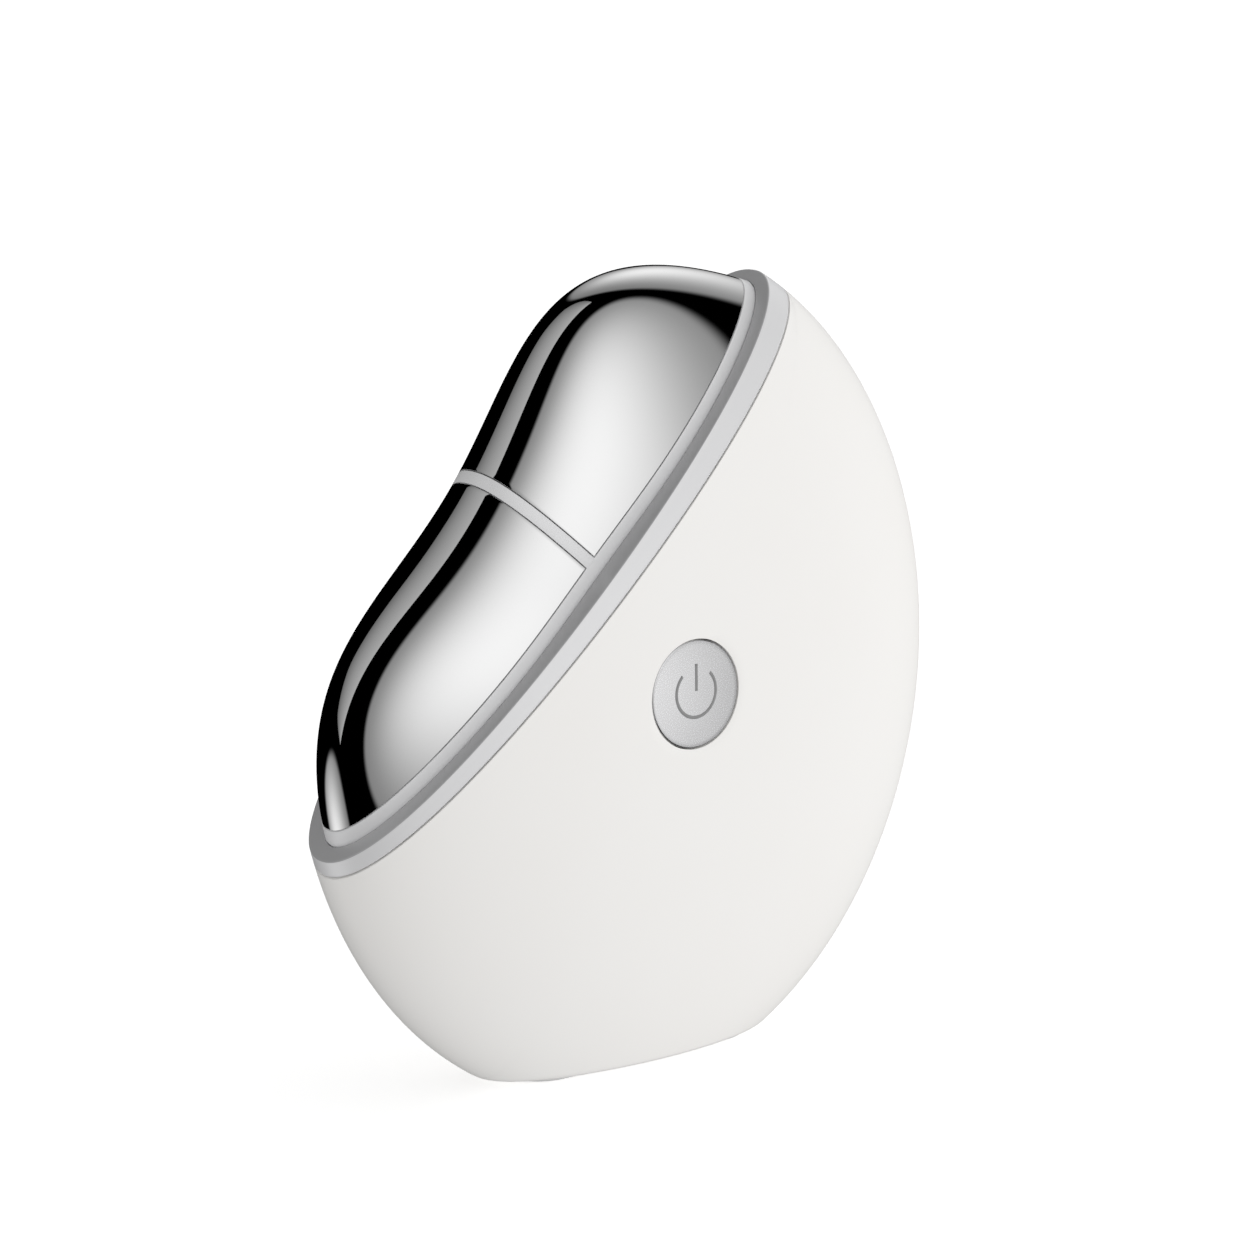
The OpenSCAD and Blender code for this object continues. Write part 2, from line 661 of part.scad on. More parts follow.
module electrode_leads() color([0.75, 0.2, 0.2]) {
    wire(inside([under_terminal(-6), slanted(-6.2, 0.6, 5), slanted(-6.5, 1.4, 0),
        slanted(-7, 1.2, -4), slanted(-7.5, 0.6, -8), slanted(-7.5, 0, -11),
        slanted(-7, -0.35, -13)]), 0.8, [0, 1, 0]);
    wire(inside([under_terminal(9), slanted(8.9, 0.6, 6), slanted(9, 1.4, 0),
        slanted(9, 1.2, -4), slanted(8.5, 0.6, -8), slanted(8.5, 0, -11),
        slanted(8, -0.35, -13)]), 0.8, [0, 1, 0]);
}
module battery_leads() color([0.1, 0.1, 0.1]) for (z = [-0.8, 0.8])
    wire(inside([slanted(-16.5, cell_y + cell_t - 0.9, -17 + z), slanted(-17.5, 8, -17 + z),
        [-12.6 - z, 6.6, -15.5 + z], [-14.6 - z, 4.6, -16.3 + z], [-15.8, 2.4, -15.6 + z],
        [-15.4, 1, -13.2 + z], [-14, 0.72, -12 + z], [-12.4, 0.7, -12 + z]]), 0.8, [0, 0, 1]);
module motor_leads() color([0.2, 0.3, 0.75]) for (y = [-0.8, 0.8])
    wire(inside([[-11.4, motor_y + y, motor_z], [-13.5, motor_y + y, motor_z], [-15, -1.9 + y, -27],
        [-15.2, -1.5 + y, -24], [-14, -1.3 + y, -21.4]]), 0.6, [0, 1, 0]);

// ---- screws --------------------------------------------------------------------------

module frame_screws() color(steel_col) for (p = frame_posts)
    facing_back(p[0], frame_y + frame_t, p[1]) screw(6.5);
module board_screws() color(steel_col) for (p = board_posts) at_centre()
    translate([p[0], board_y, p[1]]) rotate([90, 0, 0]) screw(4);
module head_screws() color(steel_col) for (s = head_posts) on_cut()
    translate([s, 0, tab_top - tab_t]) rotate([180, 0, 0]) screw(6);
module base_screws() color(steel_col) for (x = base_posts)
    translate([x, base_post_y, base_z + head_room]) rotate([180, 0, 0]) screw(5);

front_shell();
back_cover();
foot_pad();
rim_seal();
trim_ring();
electrode_carrier();
upper_electrode();
lower_electrode();
electrode_terminals();
power_button();
power_symbol();
inner_frame();
main_board();
switch_body();
switch_plunger();
board_leds();
control_chip();
pulse_transformer();
board_capacitors();
charge_inductor();
battery_socket();
battery_plug();
battery_cell();
battery_pad();
battery_leads();
usb_receptacle();
usb_tongue();
motor_boot();
motor_can();
motor_shaft();
eccentric_weight();
motor_leads();
electrode_leads();
frame_screws();
head_screws();
base_screws();
board_screws();
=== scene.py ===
import json
import math

import bmesh
import bpy
import numpy as np
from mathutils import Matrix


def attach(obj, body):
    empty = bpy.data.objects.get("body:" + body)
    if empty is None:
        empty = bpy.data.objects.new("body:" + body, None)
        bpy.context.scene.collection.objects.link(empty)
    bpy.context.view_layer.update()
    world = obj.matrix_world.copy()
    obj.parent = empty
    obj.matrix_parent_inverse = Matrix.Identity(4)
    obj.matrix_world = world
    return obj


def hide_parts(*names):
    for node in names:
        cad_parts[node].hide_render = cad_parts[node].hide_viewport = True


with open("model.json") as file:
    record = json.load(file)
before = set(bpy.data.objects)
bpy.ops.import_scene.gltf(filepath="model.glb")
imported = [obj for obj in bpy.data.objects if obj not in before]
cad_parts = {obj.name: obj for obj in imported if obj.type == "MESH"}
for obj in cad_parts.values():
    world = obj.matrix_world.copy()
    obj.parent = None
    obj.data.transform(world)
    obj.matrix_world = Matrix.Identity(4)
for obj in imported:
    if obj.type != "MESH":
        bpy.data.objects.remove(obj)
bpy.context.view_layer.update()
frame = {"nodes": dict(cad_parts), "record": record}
print("frame loaded:", len(frame["nodes"]), "nodes")

mm = 0.001
tiny = 0.002  # mm: points closer than this become one
nodes = frame["nodes"]
scene = bpy.context.scene
scene.view_settings.view_transform = "Standard"  # the photo's greys come out as they are

# the camera comes first, so that everything is judged in the photo's frame
cameraSet = {
    "target": (0, 0, 0.03976),  # centre of the oval
    "azimuth": -38.78,  # degrees round the object, 0 looks along +Y
    "elevation": 11.887,
    "distance": 0.4105,
    "lens": 116.14,
    "sensor": 36,
    "shift": (0.00471, 0.037),
    "clip": (0.01, 20),  # nearest and farthest, in metres
}


def directionTo(azimuth, elevation):
    # unit vector from the object towards a place at that azimuth and elevation
    a, e = math.radians(azimuth), math.radians(elevation)
    return np.array([math.sin(a) * math.cos(e), -math.cos(a) * math.cos(e), math.sin(e)])


def makeCamera(s):
    camera = bpy.data.objects.new("camera", bpy.data.cameras.new("camera"))
    scene.collection.objects.link(camera)
    back = directionTo(s["azimuth"], s["elevation"])
    camera.location = np.array(s["target"]) + back * s["distance"]
    camera.rotation_euler = (math.radians(90 - s["elevation"]), 0, math.radians(s["azimuth"]))
    camera.data.lens = s["lens"]
    camera.data.sensor_width = s["sensor"]
    camera.data.shift_x, camera.data.shift_y = s["shift"]
    camera.data.clip_start, camera.data.clip_end = s["clip"]
    scene.camera = camera


makeCamera(cameraSet)
print("camera placed")


def bridge(*rows):
    # a grid in millimetres that joins these rows of points in turn
    return np.stack(rows), None


def ring(points):
    # a grid whose last column joins its first
    return np.concatenate([points, points[:, :1]], axis=1), None


def gridQuads(shape, start=0):
    # a grid's quads, as the numbers of their corners, counted row by row from start
    index = np.arange(shape[0] * shape[1]).reshape(shape[:2]) + start
    return np.stack([index[:-1, :-1], index[:-1, 1:], index[1:, 1:], index[1:, :-1]], -1)


def buildMesh(name, grids):
    # grids are (points, keep): rows x columns x 3, and a mask of the quads to keep, or None.
    # Points that coincide are merged, and the faces of the closed shape are turned outwards.
    points, quads, start = [], [], 0
    for grid, keep in grids:
        quad = gridQuads(grid.shape, start)
        quads.append(quad[keep] if keep is not None else quad.reshape(-1, 4))
        points.append(grid.reshape(-1, 3))
        start += len(points[-1])
    points, quads = np.concatenate(points) * mm, np.concatenate(quads)
    mesh = bpy.data.meshes.new(name)
    mesh.vertices.add(len(points))
    mesh.vertices.foreach_set("co", points.ravel())
    mesh.loops.add(quads.size)
    mesh.loops.foreach_set("vertex_index", quads.ravel().astype(np.int32))
    mesh.polygons.add(len(quads))
    mesh.polygons.foreach_set("loop_start", np.arange(0, quads.size, 4, dtype=np.int32))
    mesh.update(calc_edges=True)
    work = bmesh.new()
    work.from_mesh(mesh)
    bmesh.ops.remove_doubles(work, verts=work.verts, dist=tiny * mm)
    bmesh.ops.dissolve_degenerate(work, edges=work.edges, dist=tiny * mm / 20)
    bmesh.ops.recalc_face_normals(work, faces=work.faces)
    loose = sum(1 for e in work.edges if len(e.link_faces) != 2)
    work.to_mesh(mesh)
    work.free()
    mesh.polygons.foreach_set("use_smooth", np.full(len(mesh.polygons), True))
    print(f"  {name}: {len(mesh.polygons)} faces, {loose} open edges")
    return mesh


def makePiece(name, grids, body, material, node, bevel=None, bevelAngle=50):
    # a piece that stands for a CAD node, rides on its body and has its material slot
    mesh = buildMesh(name, grids)
    piece = bpy.data.objects.new(name, mesh)
    scene.collection.objects.link(piece)
    mesh.materials.append(material)
    if bevel:
        edge = piece.modifiers.new("edge", "BEVEL")
        edge.width, edge.segments = bevel * mm, 2
        edge.limit_method, edge.angle_limit = "ANGLE", math.radians(bevelAngle)
        edge.use_clamp_overlap = True
        weigh = piece.modifiers.new("weigh", "WEIGHTED_NORMAL")
        weigh.weight, weigh.keep_sharp = 80, False
    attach(piece, body)
    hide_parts(node)
    return piece


def softEdge(near, corner, far, steps):
    # rows from near to far along a parabola that has the sharp corner as its control point
    t = np.linspace(0, 1, steps + 1)[:, None, None]
    return (1 - t) ** 2 * near + 2 * t * (1 - t) * corner + t * t * far


def linearColour(hexValue):
    # sRGB hex to linear red, green, blue and alpha
    c = np.array([int(hexValue[i:i + 2], 16) for i in (1, 3, 5)]) / 255
    return (*np.where(c <= 0.04045, c / 12.92, ((c + 0.055) / 1.055) ** 2.4), 1.0)


def addNode(tree, kind, settings=None, **links):
    # a node with its settings, attributes or socket values, and its links by input name or number
    node = tree.nodes.new("ShaderNode" + kind)
    for key, value in (settings or {}).items():
        if isinstance(key, str) and hasattr(node, key):
            setattr(node, key, value)
        else:
            node.inputs[key].default_value = value
    for key, source in links.items():
        name = int(key[1:]) if key[0] == "i" and key[1:].isdigit() else key
        tree.links.new(source, node.inputs[name])
    return node


def emptyMaterial(name):
    material = bpy.data.materials.new(name)
    material.use_nodes = True
    material.node_tree.nodes.clear()
    return material, material.node_tree


def newMaterial(name):
    # a shader on its output, and the Object coordinates that its patterns read
    material, tree = emptyMaterial(name)
    shader = addNode(tree, "BsdfPrincipled")
    addNode(tree, "OutputMaterial", i0=shader.outputs[0])
    return material, tree, shader, addNode(tree, "TexCoord").outputs["Object"]


def colourAndBump(tree, shader, s, blend, height):
    # two tones blended by one pattern, and another pattern as bump
    tone = addNode(tree, "Mix", {"data_type": "RGBA", 6: linearColour(s["tone"]),
                                 7: linearColour(s["otherTone"])}, i0=blend)
    tree.links.new(tone.outputs[2], shader.inputs["Base Color"])
    bump = addNode(tree, "Bump", {"Strength": s["bump"], "Distance": s["grainDepth"] * mm},
                   Height=height)
    tree.links.new(bump.outputs[0], shader.inputs["Normal"])


def grainMaterial(name, s):
    # A smooth or grained surface: cloudy colour between two tones, grain as bump, and roughness
    # that varies a little. Sizes are in millimetres.
    material, tree, shader, place = newMaterial(name)
    cloud = addNode(tree, "TexNoise", {"Scale": 1 / (s["cloudSize"] * mm), "Detail": 3.0},
                    Vector=place)
    grain = addNode(tree, "TexNoise", {"Scale": 1 / (s["grainSize"] * mm), "Detail": 2.0},
                    Vector=place)
    colourAndBump(tree, shader, s, cloud.outputs[0], grain.outputs[0])
    rough = addNode(tree, "MapRange", {"To Min": s["roughness"] - s["roughSpread"],
                                       "To Max": s["roughness"] + s["roughSpread"]},
                    Value=grain.outputs[0])
    tree.links.new(rough.outputs[0], shader.inputs["Roughness"])
    shader.inputs["Metallic"].default_value = s.get("metallic", 0.0)
    if "ior" in s:
        shader.inputs["IOR"].default_value = s["ior"]
    return material


def reopen(material):
    # a grained material's tree, shader and Object coordinates, to add more to it
    tree = material.node_tree
    return tree, tree.nodes["Principled BSDF"], tree.nodes["Texture Coordinate"].outputs["Object"]


# ABS moulded in a polished tool and left satin: warm white, even, with a faint sheen
shellPlastic = grainMaterial("satinWhiteAbs", {
    "tone": "#f0efed", "otherTone": "#eeece9", "cloudSize": 20, "grainSize": 0.25,
    "grainDepth": 0.004, "bump": 0.25, "roughness": 0.42, "roughSpread": 0.03, "ior": 1.53})

# ABS painted silver: metal flake under a satin clear coat, so half of it is soft and half shines
silverPaint = grainMaterial("silverPaintedAbs", {
    "tone": "#e8e8e9", "otherTone": "#e5e5e6", "cloudSize": 5, "grainSize": 0.1,
    "grainDepth": 0.004, "bump": 0.3, "roughness": 0.45, "roughSpread": 0.04, "metallic": 0.15})

# Bright chrome over polished brass: a mirror with the faintest waviness
brightChrome = grainMaterial("brightChromePlating", {
    "tone": "#f7f7f7", "otherTone": "#f3f3f3", "cloudSize": 15, "grainSize": 6,
    "grainDepth": 0.002, "bump": 0.05, "roughness": 0.035, "roughSpread": 0.01, "metallic": 1.0})

# Screen-printing ink, mid grey: matt, a hair uneven
greyInk = grainMaterial("greyScreenInk", {
    "tone": "#8e8e8e", "otherTone": "#868686", "cloudSize": 0.8, "grainSize": 0.06,
    "grainDepth": 0.003, "bump": 0.3, "roughness": 0.6, "roughSpread": 0.05, "ior": 1.5})
print("materials made")

# the oval, its cut and its base, in millimetres
oval = {
    "halfWidth": 39.0,
    "halfHeight": 44.45,
    "halfThick": 12.5,
    "fullness": 2.18,  # exponent of the section, where 2 is an ellipse
    "centreZ": 39.76,
    "baseZ": 0.2,
    "floorZ": 3.2,
    "wall": 1.6,
    "seamY": 4.5,
    "cutTilt": 43.4,
    "cutDistance": 13.95,
    "footSoftness": 0.7,  # height at which the side starts to round into the foot
}
centre = np.array([0, 0, oval["centreZ"]])


def turned(points, degrees):
    # local x, y, height to x, y, z, tilted about the Y axis so that local x climbs
    c, s = math.cos(math.radians(degrees)), math.sin(math.radians(degrees))
    x, y, h = points[..., 0], points[..., 1], points[..., 2]
    return np.stack([x * c - h * s, y, x * s + h * c], -1)


def ovalSize(inset):
    # half width, half height and half thickness of a skin that far inside the outer one
    return oval["halfWidth"] - inset, oval["halfHeight"] - inset, oval["halfThick"] - inset


def latitudePoint(angle, latitude, inset=0.0):
    # point of the oval: the radius falls and the depth grows with latitude as powers of its
    # cosine and sine; angle runs round the Y axis on the oval stretched to a circle
    a, b, t = ovalSize(inset)
    k = 2 / oval["fullness"]
    radius = b * np.abs(np.cos(latitude)) ** k
    depth = t * np.sign(latitude) * np.abs(np.sin(latitude)) ** k
    return np.stack([radius * np.cos(angle) * a / b, depth + 0 * angle,
                     radius * np.sin(angle)], -1) + centre


def latitudeOfRadius(radius, inset):
    # arc cosine of the share of the full radius, to the power of half the fullness
    b = ovalSize(inset)[1]
    return np.arccos(np.clip(radius / b, 0, 1) ** (oval["fullness"] / 2))


def latitudeOfDepth(y, inset):
    # arc sine of the share of the full depth, to the power of half the fullness
    t = ovalSize(inset)[2]
    return np.sign(y) * np.arcsin(np.clip(abs(y) / t, 0, 1) ** (oval["fullness"] / 2))


def radiusOfLatitude(latitude, inset):
    # the full radius times the cosine, to the power of 2 over the fullness
    return ovalSize(inset)[1] * np.cos(latitude) ** (2 / oval["fullness"])


def lineInCircle(direction, distance, inset):
    # a straight cut at that distance, seen on the oval stretched to a circle: angle and distance
    a, b, _ = ovalSize(inset)
    x, z = direction[0] * a / b, direction[1]
    size = math.hypot(x, z)
    return math.atan2(z, x), distance / size


def cutLines(inset, baseHeight):
    # the slanted cut and the base as lines in that circle, each an angle and a distance
    tilt = math.radians(oval["cutTilt"])
    cut = lineInCircle((-math.sin(tilt), math.cos(tilt)), oval["cutDistance"], inset)
    base = lineInCircle((0, -1), oval["centreZ"] - baseHeight, inset)
    return cut, base


def cornerAngles(inset, baseHeight, radius):
    # where the cut and the base meet a circle of that radius: cut right, base right, base left
    # and cut left, counted clockwise from the cut's right end
    (cutAngle, cutD), (baseAngle, baseD) = cutLines(inset, baseHeight)
    cutHalf, baseHalf = np.arccos(cutD / radius), np.arccos(baseD / radius)
    return (cutAngle - cutHalf, baseAngle + baseHalf, baseAngle - baseHalf,
            cutAngle + cutHalf - 2 * math.pi)


def easeEnds(n):
    # n + 1 places from 0 to 1 that draw together at both ends as the square of the distance
    t = np.linspace(0, 1, n + 1)
    return t * t * (3 - 2 * t)


shellGrid = {"cut": 150, "right": 210, "base": 60, "left": 70, "rows": 64, "strip": 14}
port = {
    "angle": -28.0,  # on the rim, from +X
    "length": 9.44,
    "width": 3.76,
    "y": 0.83,
    "windowSide": 1.1,  # margin round the slot
    "rings": 5,
    "crowding": 0.8,  # below 1, the rings draw together towards the slot
}


def boundaryAngles(corners):
    # angles of the shell's columns, clockwise: cut, right side, base, left side, back to the cut
    cutRight, baseRight, baseLeft, cutLeft = corners
    n = shellGrid
    return [cutLeft + 2 * math.pi + (cutRight - cutLeft - 2 * math.pi) * easeEnds(n["cut"]),
            cutRight + (baseRight - cutRight) * easeEnds(n["right"]),
            baseRight + (baseLeft - baseRight) * easeEnds(n["base"]),
            baseLeft + (cutLeft - baseLeft) * easeEnds(n["left"])]


def raysToEdge(origin, angles, firstRadius, reach, inset, baseHeight, side):
    # Columns run on the stretched circle from a round hole at origin to the edge: the rim, or the
    # cut or base where a ray meets it first. Rows are even in latitude. side is -1 for the front.
    a, b, t = ovalSize(inset)
    (cutAngle, cutD), (baseAngle, baseD) = cutLines(inset, baseHeight)
    limit = np.full(len(angles), reach)
    for lineAngle, d in ((cutAngle, cutD), (baseAngle, baseD)):
        toLine = np.cos(angles - lineAngle)
        limit = np.minimum(limit, np.where(toLine > 1e-6, d / np.maximum(toLine, 1e-6), reach))
    ends = np.stack([limit * np.cos(angles), limit * np.sin(angles)], -1)
    start = np.array(origin) * [b / a, 1]
    away = ends - start
    length = np.linalg.norm(away, axis=1)
    away /= length[:, None]
    if firstRadius:  # the hole is round in millimetres, so it is an ellipse on the circle
        first = firstRadius / np.hypot(away[:, 0] * a / b, away[:, 1])
    else:
        first = np.zeros(len(angles))
    firstPoint = start + away * first[:, None]
    fromLat = latitudeOfRadius(np.hypot(*firstPoint.T), inset)
    toLat = latitudeOfRadius(limit, inset)
    f = np.linspace(0, 1, shellGrid["rows"] + 1)[:, None]
    latitude = fromLat + (toLat - fromLat) * f
    radius = radiusOfLatitude(latitude, inset)
    along = away @ start
    step = -along + np.sqrt(np.maximum(along ** 2 - start @ start + radius ** 2, 0))
    step[0], step[-1] = first, length
    circle = start + away * step[..., None]
    y = side * t * np.sin(latitude) ** (2 / oval["fullness"])
    return np.stack([circle[..., 0] * a / b, y, circle[..., 1]], -1) + centre


def rimStrip(angles, corners, inset, baseHeight, which):
    # the rim's far side, from the middle plane back to the seam: each row keeps its place between
    # the cut and the base, which draw closer as the oval narrows
    lat = latitudeOfDepth(oval["seamY"], inset) * np.linspace(0, 1, shellGrid["strip"] + 1)
    first, last = (0, 1) if which == "right" else (2, 3)
    part = (angles - corners[first]) / (corners[last] - corners[first])
    rows = []
    for value in lat:
        c = cornerAngles(inset, baseHeight, radiusOfLatitude(value, inset))
        angle = c[first] + (c[last] - c[first]) * part
        rows.append(latitudePoint(angle, np.full(len(part), value), inset))
    return np.stack(rows)


def slopeAt(points, inset=0.0):
    # unit normal of the oval: the gradient of radius and depth, each to the power of the fullness
    a, b, t = ovalSize(inset)
    n = oval["fullness"]
    p = points - centre
    stretched = p[..., 0] * b / a
    radius = np.hypot(stretched, p[..., 2])
    pull = radius ** (n - 2) / b ** n
    g = np.stack([pull * stretched * b / a,
                  np.sign(p[..., 1]) * np.abs(p[..., 1]) ** (n - 1) / t ** n, pull * p[..., 2]], -1)
    return g / np.linalg.norm(g, axis=-1, keepdims=True)


footSet = {
    "steps": 6,
    "narrow": 0.93,  # share of its x that a point keeps on its way in
    "front": 0.88,  # share of its distance from the seam that it keeps on the front shell
    "back": 0.28,  # and on the back cover
}


def footEdge(edge, share):
    # rounds the side into the flat foot: down along the side's slope to the foot's plane, then in,
    # where x and the distance from the seam are each multiplied by their share
    def inward(p):
        seam = oval["seamY"]
        return np.stack([p[..., 0] * footSet["narrow"], seam + (p[..., 1] - seam) * share,
                         p[..., 2]], -1)

    normal = slopeAt(edge)
    into = inward(edge) - edge
    into[..., 2] = 0
    into /= np.linalg.norm(into, axis=-1, keepdims=True)
    drop = edge[..., 2:] - oval["baseZ"]
    lean = normal[..., 2:] / np.sum(normal * into, -1, keepdims=True)
    corner = edge + into * lean * drop
    corner[..., 2] = oval["baseZ"]
    return softEdge(edge, corner, inward(corner), footSet["steps"])


def skin(inset, baseHeight, origin, holeRadius, reach, side):
    # the wall's outer or inner skin: one grid for each side of the edge, with its angles
    corners = cornerAngles(inset, baseHeight, reach)
    angles = boundaryAngles(corners)
    parts = [raysToEdge(origin, part, holeRadius, reach, inset, baseHeight, side) for part in angles]
    return parts, angles, corners


def stadiumPoint(angle, length, width):
    # where a ray from the middle of a slot with round ends meets its edge
    flat, r = (length - width) / 2, width / 2
    c, s = np.cos(angle), np.sin(angle)
    side = r / np.maximum(np.abs(s), 1e-9)
    end = np.abs(c) * flat + np.sqrt(np.maximum(r * r - (s * flat) ** 2, 0))
    t = np.where(np.abs(c) * side <= flat, side, end)
    return np.stack([t * c, t * s], -1)


def portFrame():
    # the port's place on the rim's ellipse, the way straight out of it and the way along it
    t = math.radians(port["angle"])
    a, b = oval["halfWidth"], oval["halfHeight"]
    at = np.array([a * math.cos(t), b * math.sin(t)])
    out = np.array([math.cos(t) / a, math.sin(t) / b])
    out /= np.linalg.norm(out)
    return at, out, np.array([-out[1], out[0]])


def onRim(across, y, inset):
    # point of the skin across the port's axis and at depth y, found along the axis
    a, b, t = ovalSize(inset)
    at, out, along = portFrame()
    stretch = np.array([b / a, 1])
    start = (at + across[..., None] * along) * stretch
    way = out * stretch
    radius = b * (1 - np.abs(y / t) ** oval["fullness"]) ** (1 / oval["fullness"])
    half = start @ way
    size = way @ way
    go = (-half + np.sqrt(half ** 2 - size * (np.sum(start ** 2, -1) - radius ** 2))) / size
    flat = start + way * go[..., None]
    return np.stack([flat[..., 0] * a / b, y, flat[..., 1]], -1) + centre


def portWindow(front, strip, angles):
    # rows and columns of the right side that the port's window takes up: its half length over the
    # rim's length for one radian there is its reach in angle
    middle = math.radians(port["angle"])
    reach = (port["length"] / 2 + port["windowSide"]) / np.hypot(
        oval["halfWidth"] * math.sin(middle), oval["halfHeight"] * math.cos(middle))
    columns = sorted(int(np.argmin(np.abs(angles - middle - s * reach))) for s in (1, -1))
    y = port["width"] / 2 + port["windowSide"]
    mid = sum(columns) // 2
    first = int(np.argmin(np.abs(front[:, mid, 1] - port["y"] + y)))
    last = int(np.argmin(np.abs(strip[:, mid, 1] - port["y"] - y)))
    return columns, first, last


def portRings(front, strip, window, inset):
    # takes the window out of the side's grids and fills it with rings that shrink to the slot
    (c0, c1), first, last = window
    keepFront = np.ones((front.shape[0] - 1, front.shape[1] - 1), bool)
    keepStrip = np.ones((strip.shape[0] - 1, strip.shape[1] - 1), bool)
    keepFront[first:, c0:c1] = False
    keepStrip[:last, c0:c1] = False
    block = np.concatenate([front[first:, c0:c1 + 1], strip[1:last + 1, c0:c1 + 1]])
    edge = np.concatenate([block[0], block[1:, -1], block[-1, -2::-1], block[-2:0:-1, 0]])
    at, _, along = portFrame()
    across = (edge - centre)[:, [0, 2]] @ along - at @ along
    flat = np.stack([across, edge[:, 1] - port["y"]], -1)
    slot = stadiumPoint(np.arctan2(flat[:, 1], flat[:, 0]), port["length"], port["width"])
    f = (np.linspace(0, 1, port["rings"] + 1) ** port["crowding"])[:, None, None]
    place = flat + (slot - flat) * f
    rings = onRim(place[..., 0], place[..., 1] + port["y"], inset)
    rings[0] = edge
    return keepFront, keepStrip, rings


recess = {"length": 30.2, "width": 8.6, "top": 0.8}
buttonHole = {"x": -0.5, "radius": 5.585}
# how far in the wall's outer and inner skin are, and the height at which each one's side ends
wallSkins = ((0.0, oval["baseZ"] + oval["footSoftness"]), (oval["wall"], oval["floorZ"]))


def seamFace(outer, inner, foot, line, floor):
    # the wall's cut on the seam: down the right side, along the foot's line and up the left side
    steps = len(foot) - 1
    outerLine = np.concatenate([outer["rightSeam"], foot[1:, 0], line, foot[:-1, -1][::-1],
                                outer["leftSeam"]])
    innerLine = np.concatenate([inner["rightSeam"], np.repeat(floor[:1], steps, 0), floor,
                                np.repeat(floor[-1:], steps, 0), inner["leftSeam"]])
    return bridge(outerLine, innerLine)


def frontShell(material):
    # the button side and the whole rim, back to the seam
    sides = []
    for inset, height in wallSkins:
        parts, angles, corners = skin(inset, height, (buttonHole["x"], 0), buttonHole["radius"],
                                      ovalSize(inset)[1], -1)
        strips = {which: rimStrip(angles[i], corners, inset, height, which)
                  for which, i in (("right", 1), ("left", 3))}
        sides.append((parts, strips, angles))
    grids, edges, slots = [], [], []
    window = portWindow(sides[0][0][1], sides[0][1]["right"], sides[0][2][1])
    for (parts, strips, _), (inset, _) in zip(sides, wallSkins):
        keepFront, keepStrip, rings = portRings(parts[1], strips["right"], window, inset)
        grids += [(parts[0], None), (parts[1], keepFront), (parts[2], None), (parts[3], None),
                  (strips["right"], keepStrip), (strips["left"], None), ring(rings)]
        slots.append(rings[-1])
        right, left = strips["right"], strips["left"]
        edges.append({
            "cut": np.concatenate([left[::-1, -1], parts[0][-1], right[:, 0]]),
            "base": np.concatenate([right[::-1, -1], parts[2][-1], left[:, 0]]),
            "rightSeam": right[-1], "leftSeam": left[-1],
            "hole": np.concatenate([p[0] for p in parts])})
    outer, inner = edges
    grids += [bridge(outer["cut"], inner["cut"]), bridge(outer["hole"], inner["hole"]),
              ring(np.stack(slots))]
    foot = footEdge(outer["base"], footSet["front"])
    rim = foot[-1]
    line = np.linspace(rim[0], rim[-1], len(rim))
    loop = np.concatenate([rim, line[-2:0:-1]])
    inside = stadiumPoint(np.arctan2(loop[:, 1], loop[:, 0]), recess["length"], recess["width"])
    inside = np.concatenate([inside, np.full((len(inside), 1), oval["baseZ"])], 1)
    top = inside.copy()
    top[:, 2] = recess["top"]
    middle = np.tile([[0, 0, recess["top"]]], (len(top), 1))
    grids += [(foot, None), ring(np.stack([loop, inside, top, (top + middle) / 2, middle]))]
    floor = inner["base"].copy()
    floor[:, 0] = np.clip(floor[:, 0], floor[-1, 0], floor[0, 0])  # no wider than the seam is there
    floor[:, 1] = oval["seamY"]
    grids += [bridge(inner["base"], floor), seamFace(outer, inner, foot, line, floor)]
    return makePiece("frontShell", grids, "housing", material, "front_shell", bevel=0.09)


def backCover(material):
    # the far side, from the seam
    seam = oval["seamY"]
    grids, edges = [], []
    for inset, height in wallSkins:
        reach = radiusOfLatitude(latitudeOfDepth(seam, inset), inset)
        parts, _, _ = skin(inset, height, (0, 0), 0, reach, 1)
        grids += [(p, None) for p in parts]
        edges.append({"cut": parts[0][-1], "rightSeam": parts[1][-1], "base": parts[2][-1],
                      "leftSeam": parts[3][-1]})
    outer, inner = edges
    foot = footEdge(outer["base"], footSet["back"])
    line, floor = foot[-1].copy(), inner["base"].copy()
    line[:, 1] = floor[:, 1] = seam
    grids += [(foot, None), bridge(foot[-1], line), bridge(inner["base"], floor),
              seamFace(outer, inner, foot, line, floor), bridge(outer["cut"], inner["cut"])]
    return makePiece("backCover", grids, "housing", material, "back_cover", bevel=0.09)


frontShell(shellPlastic)
backCover(shellPlastic)
print("housing made")

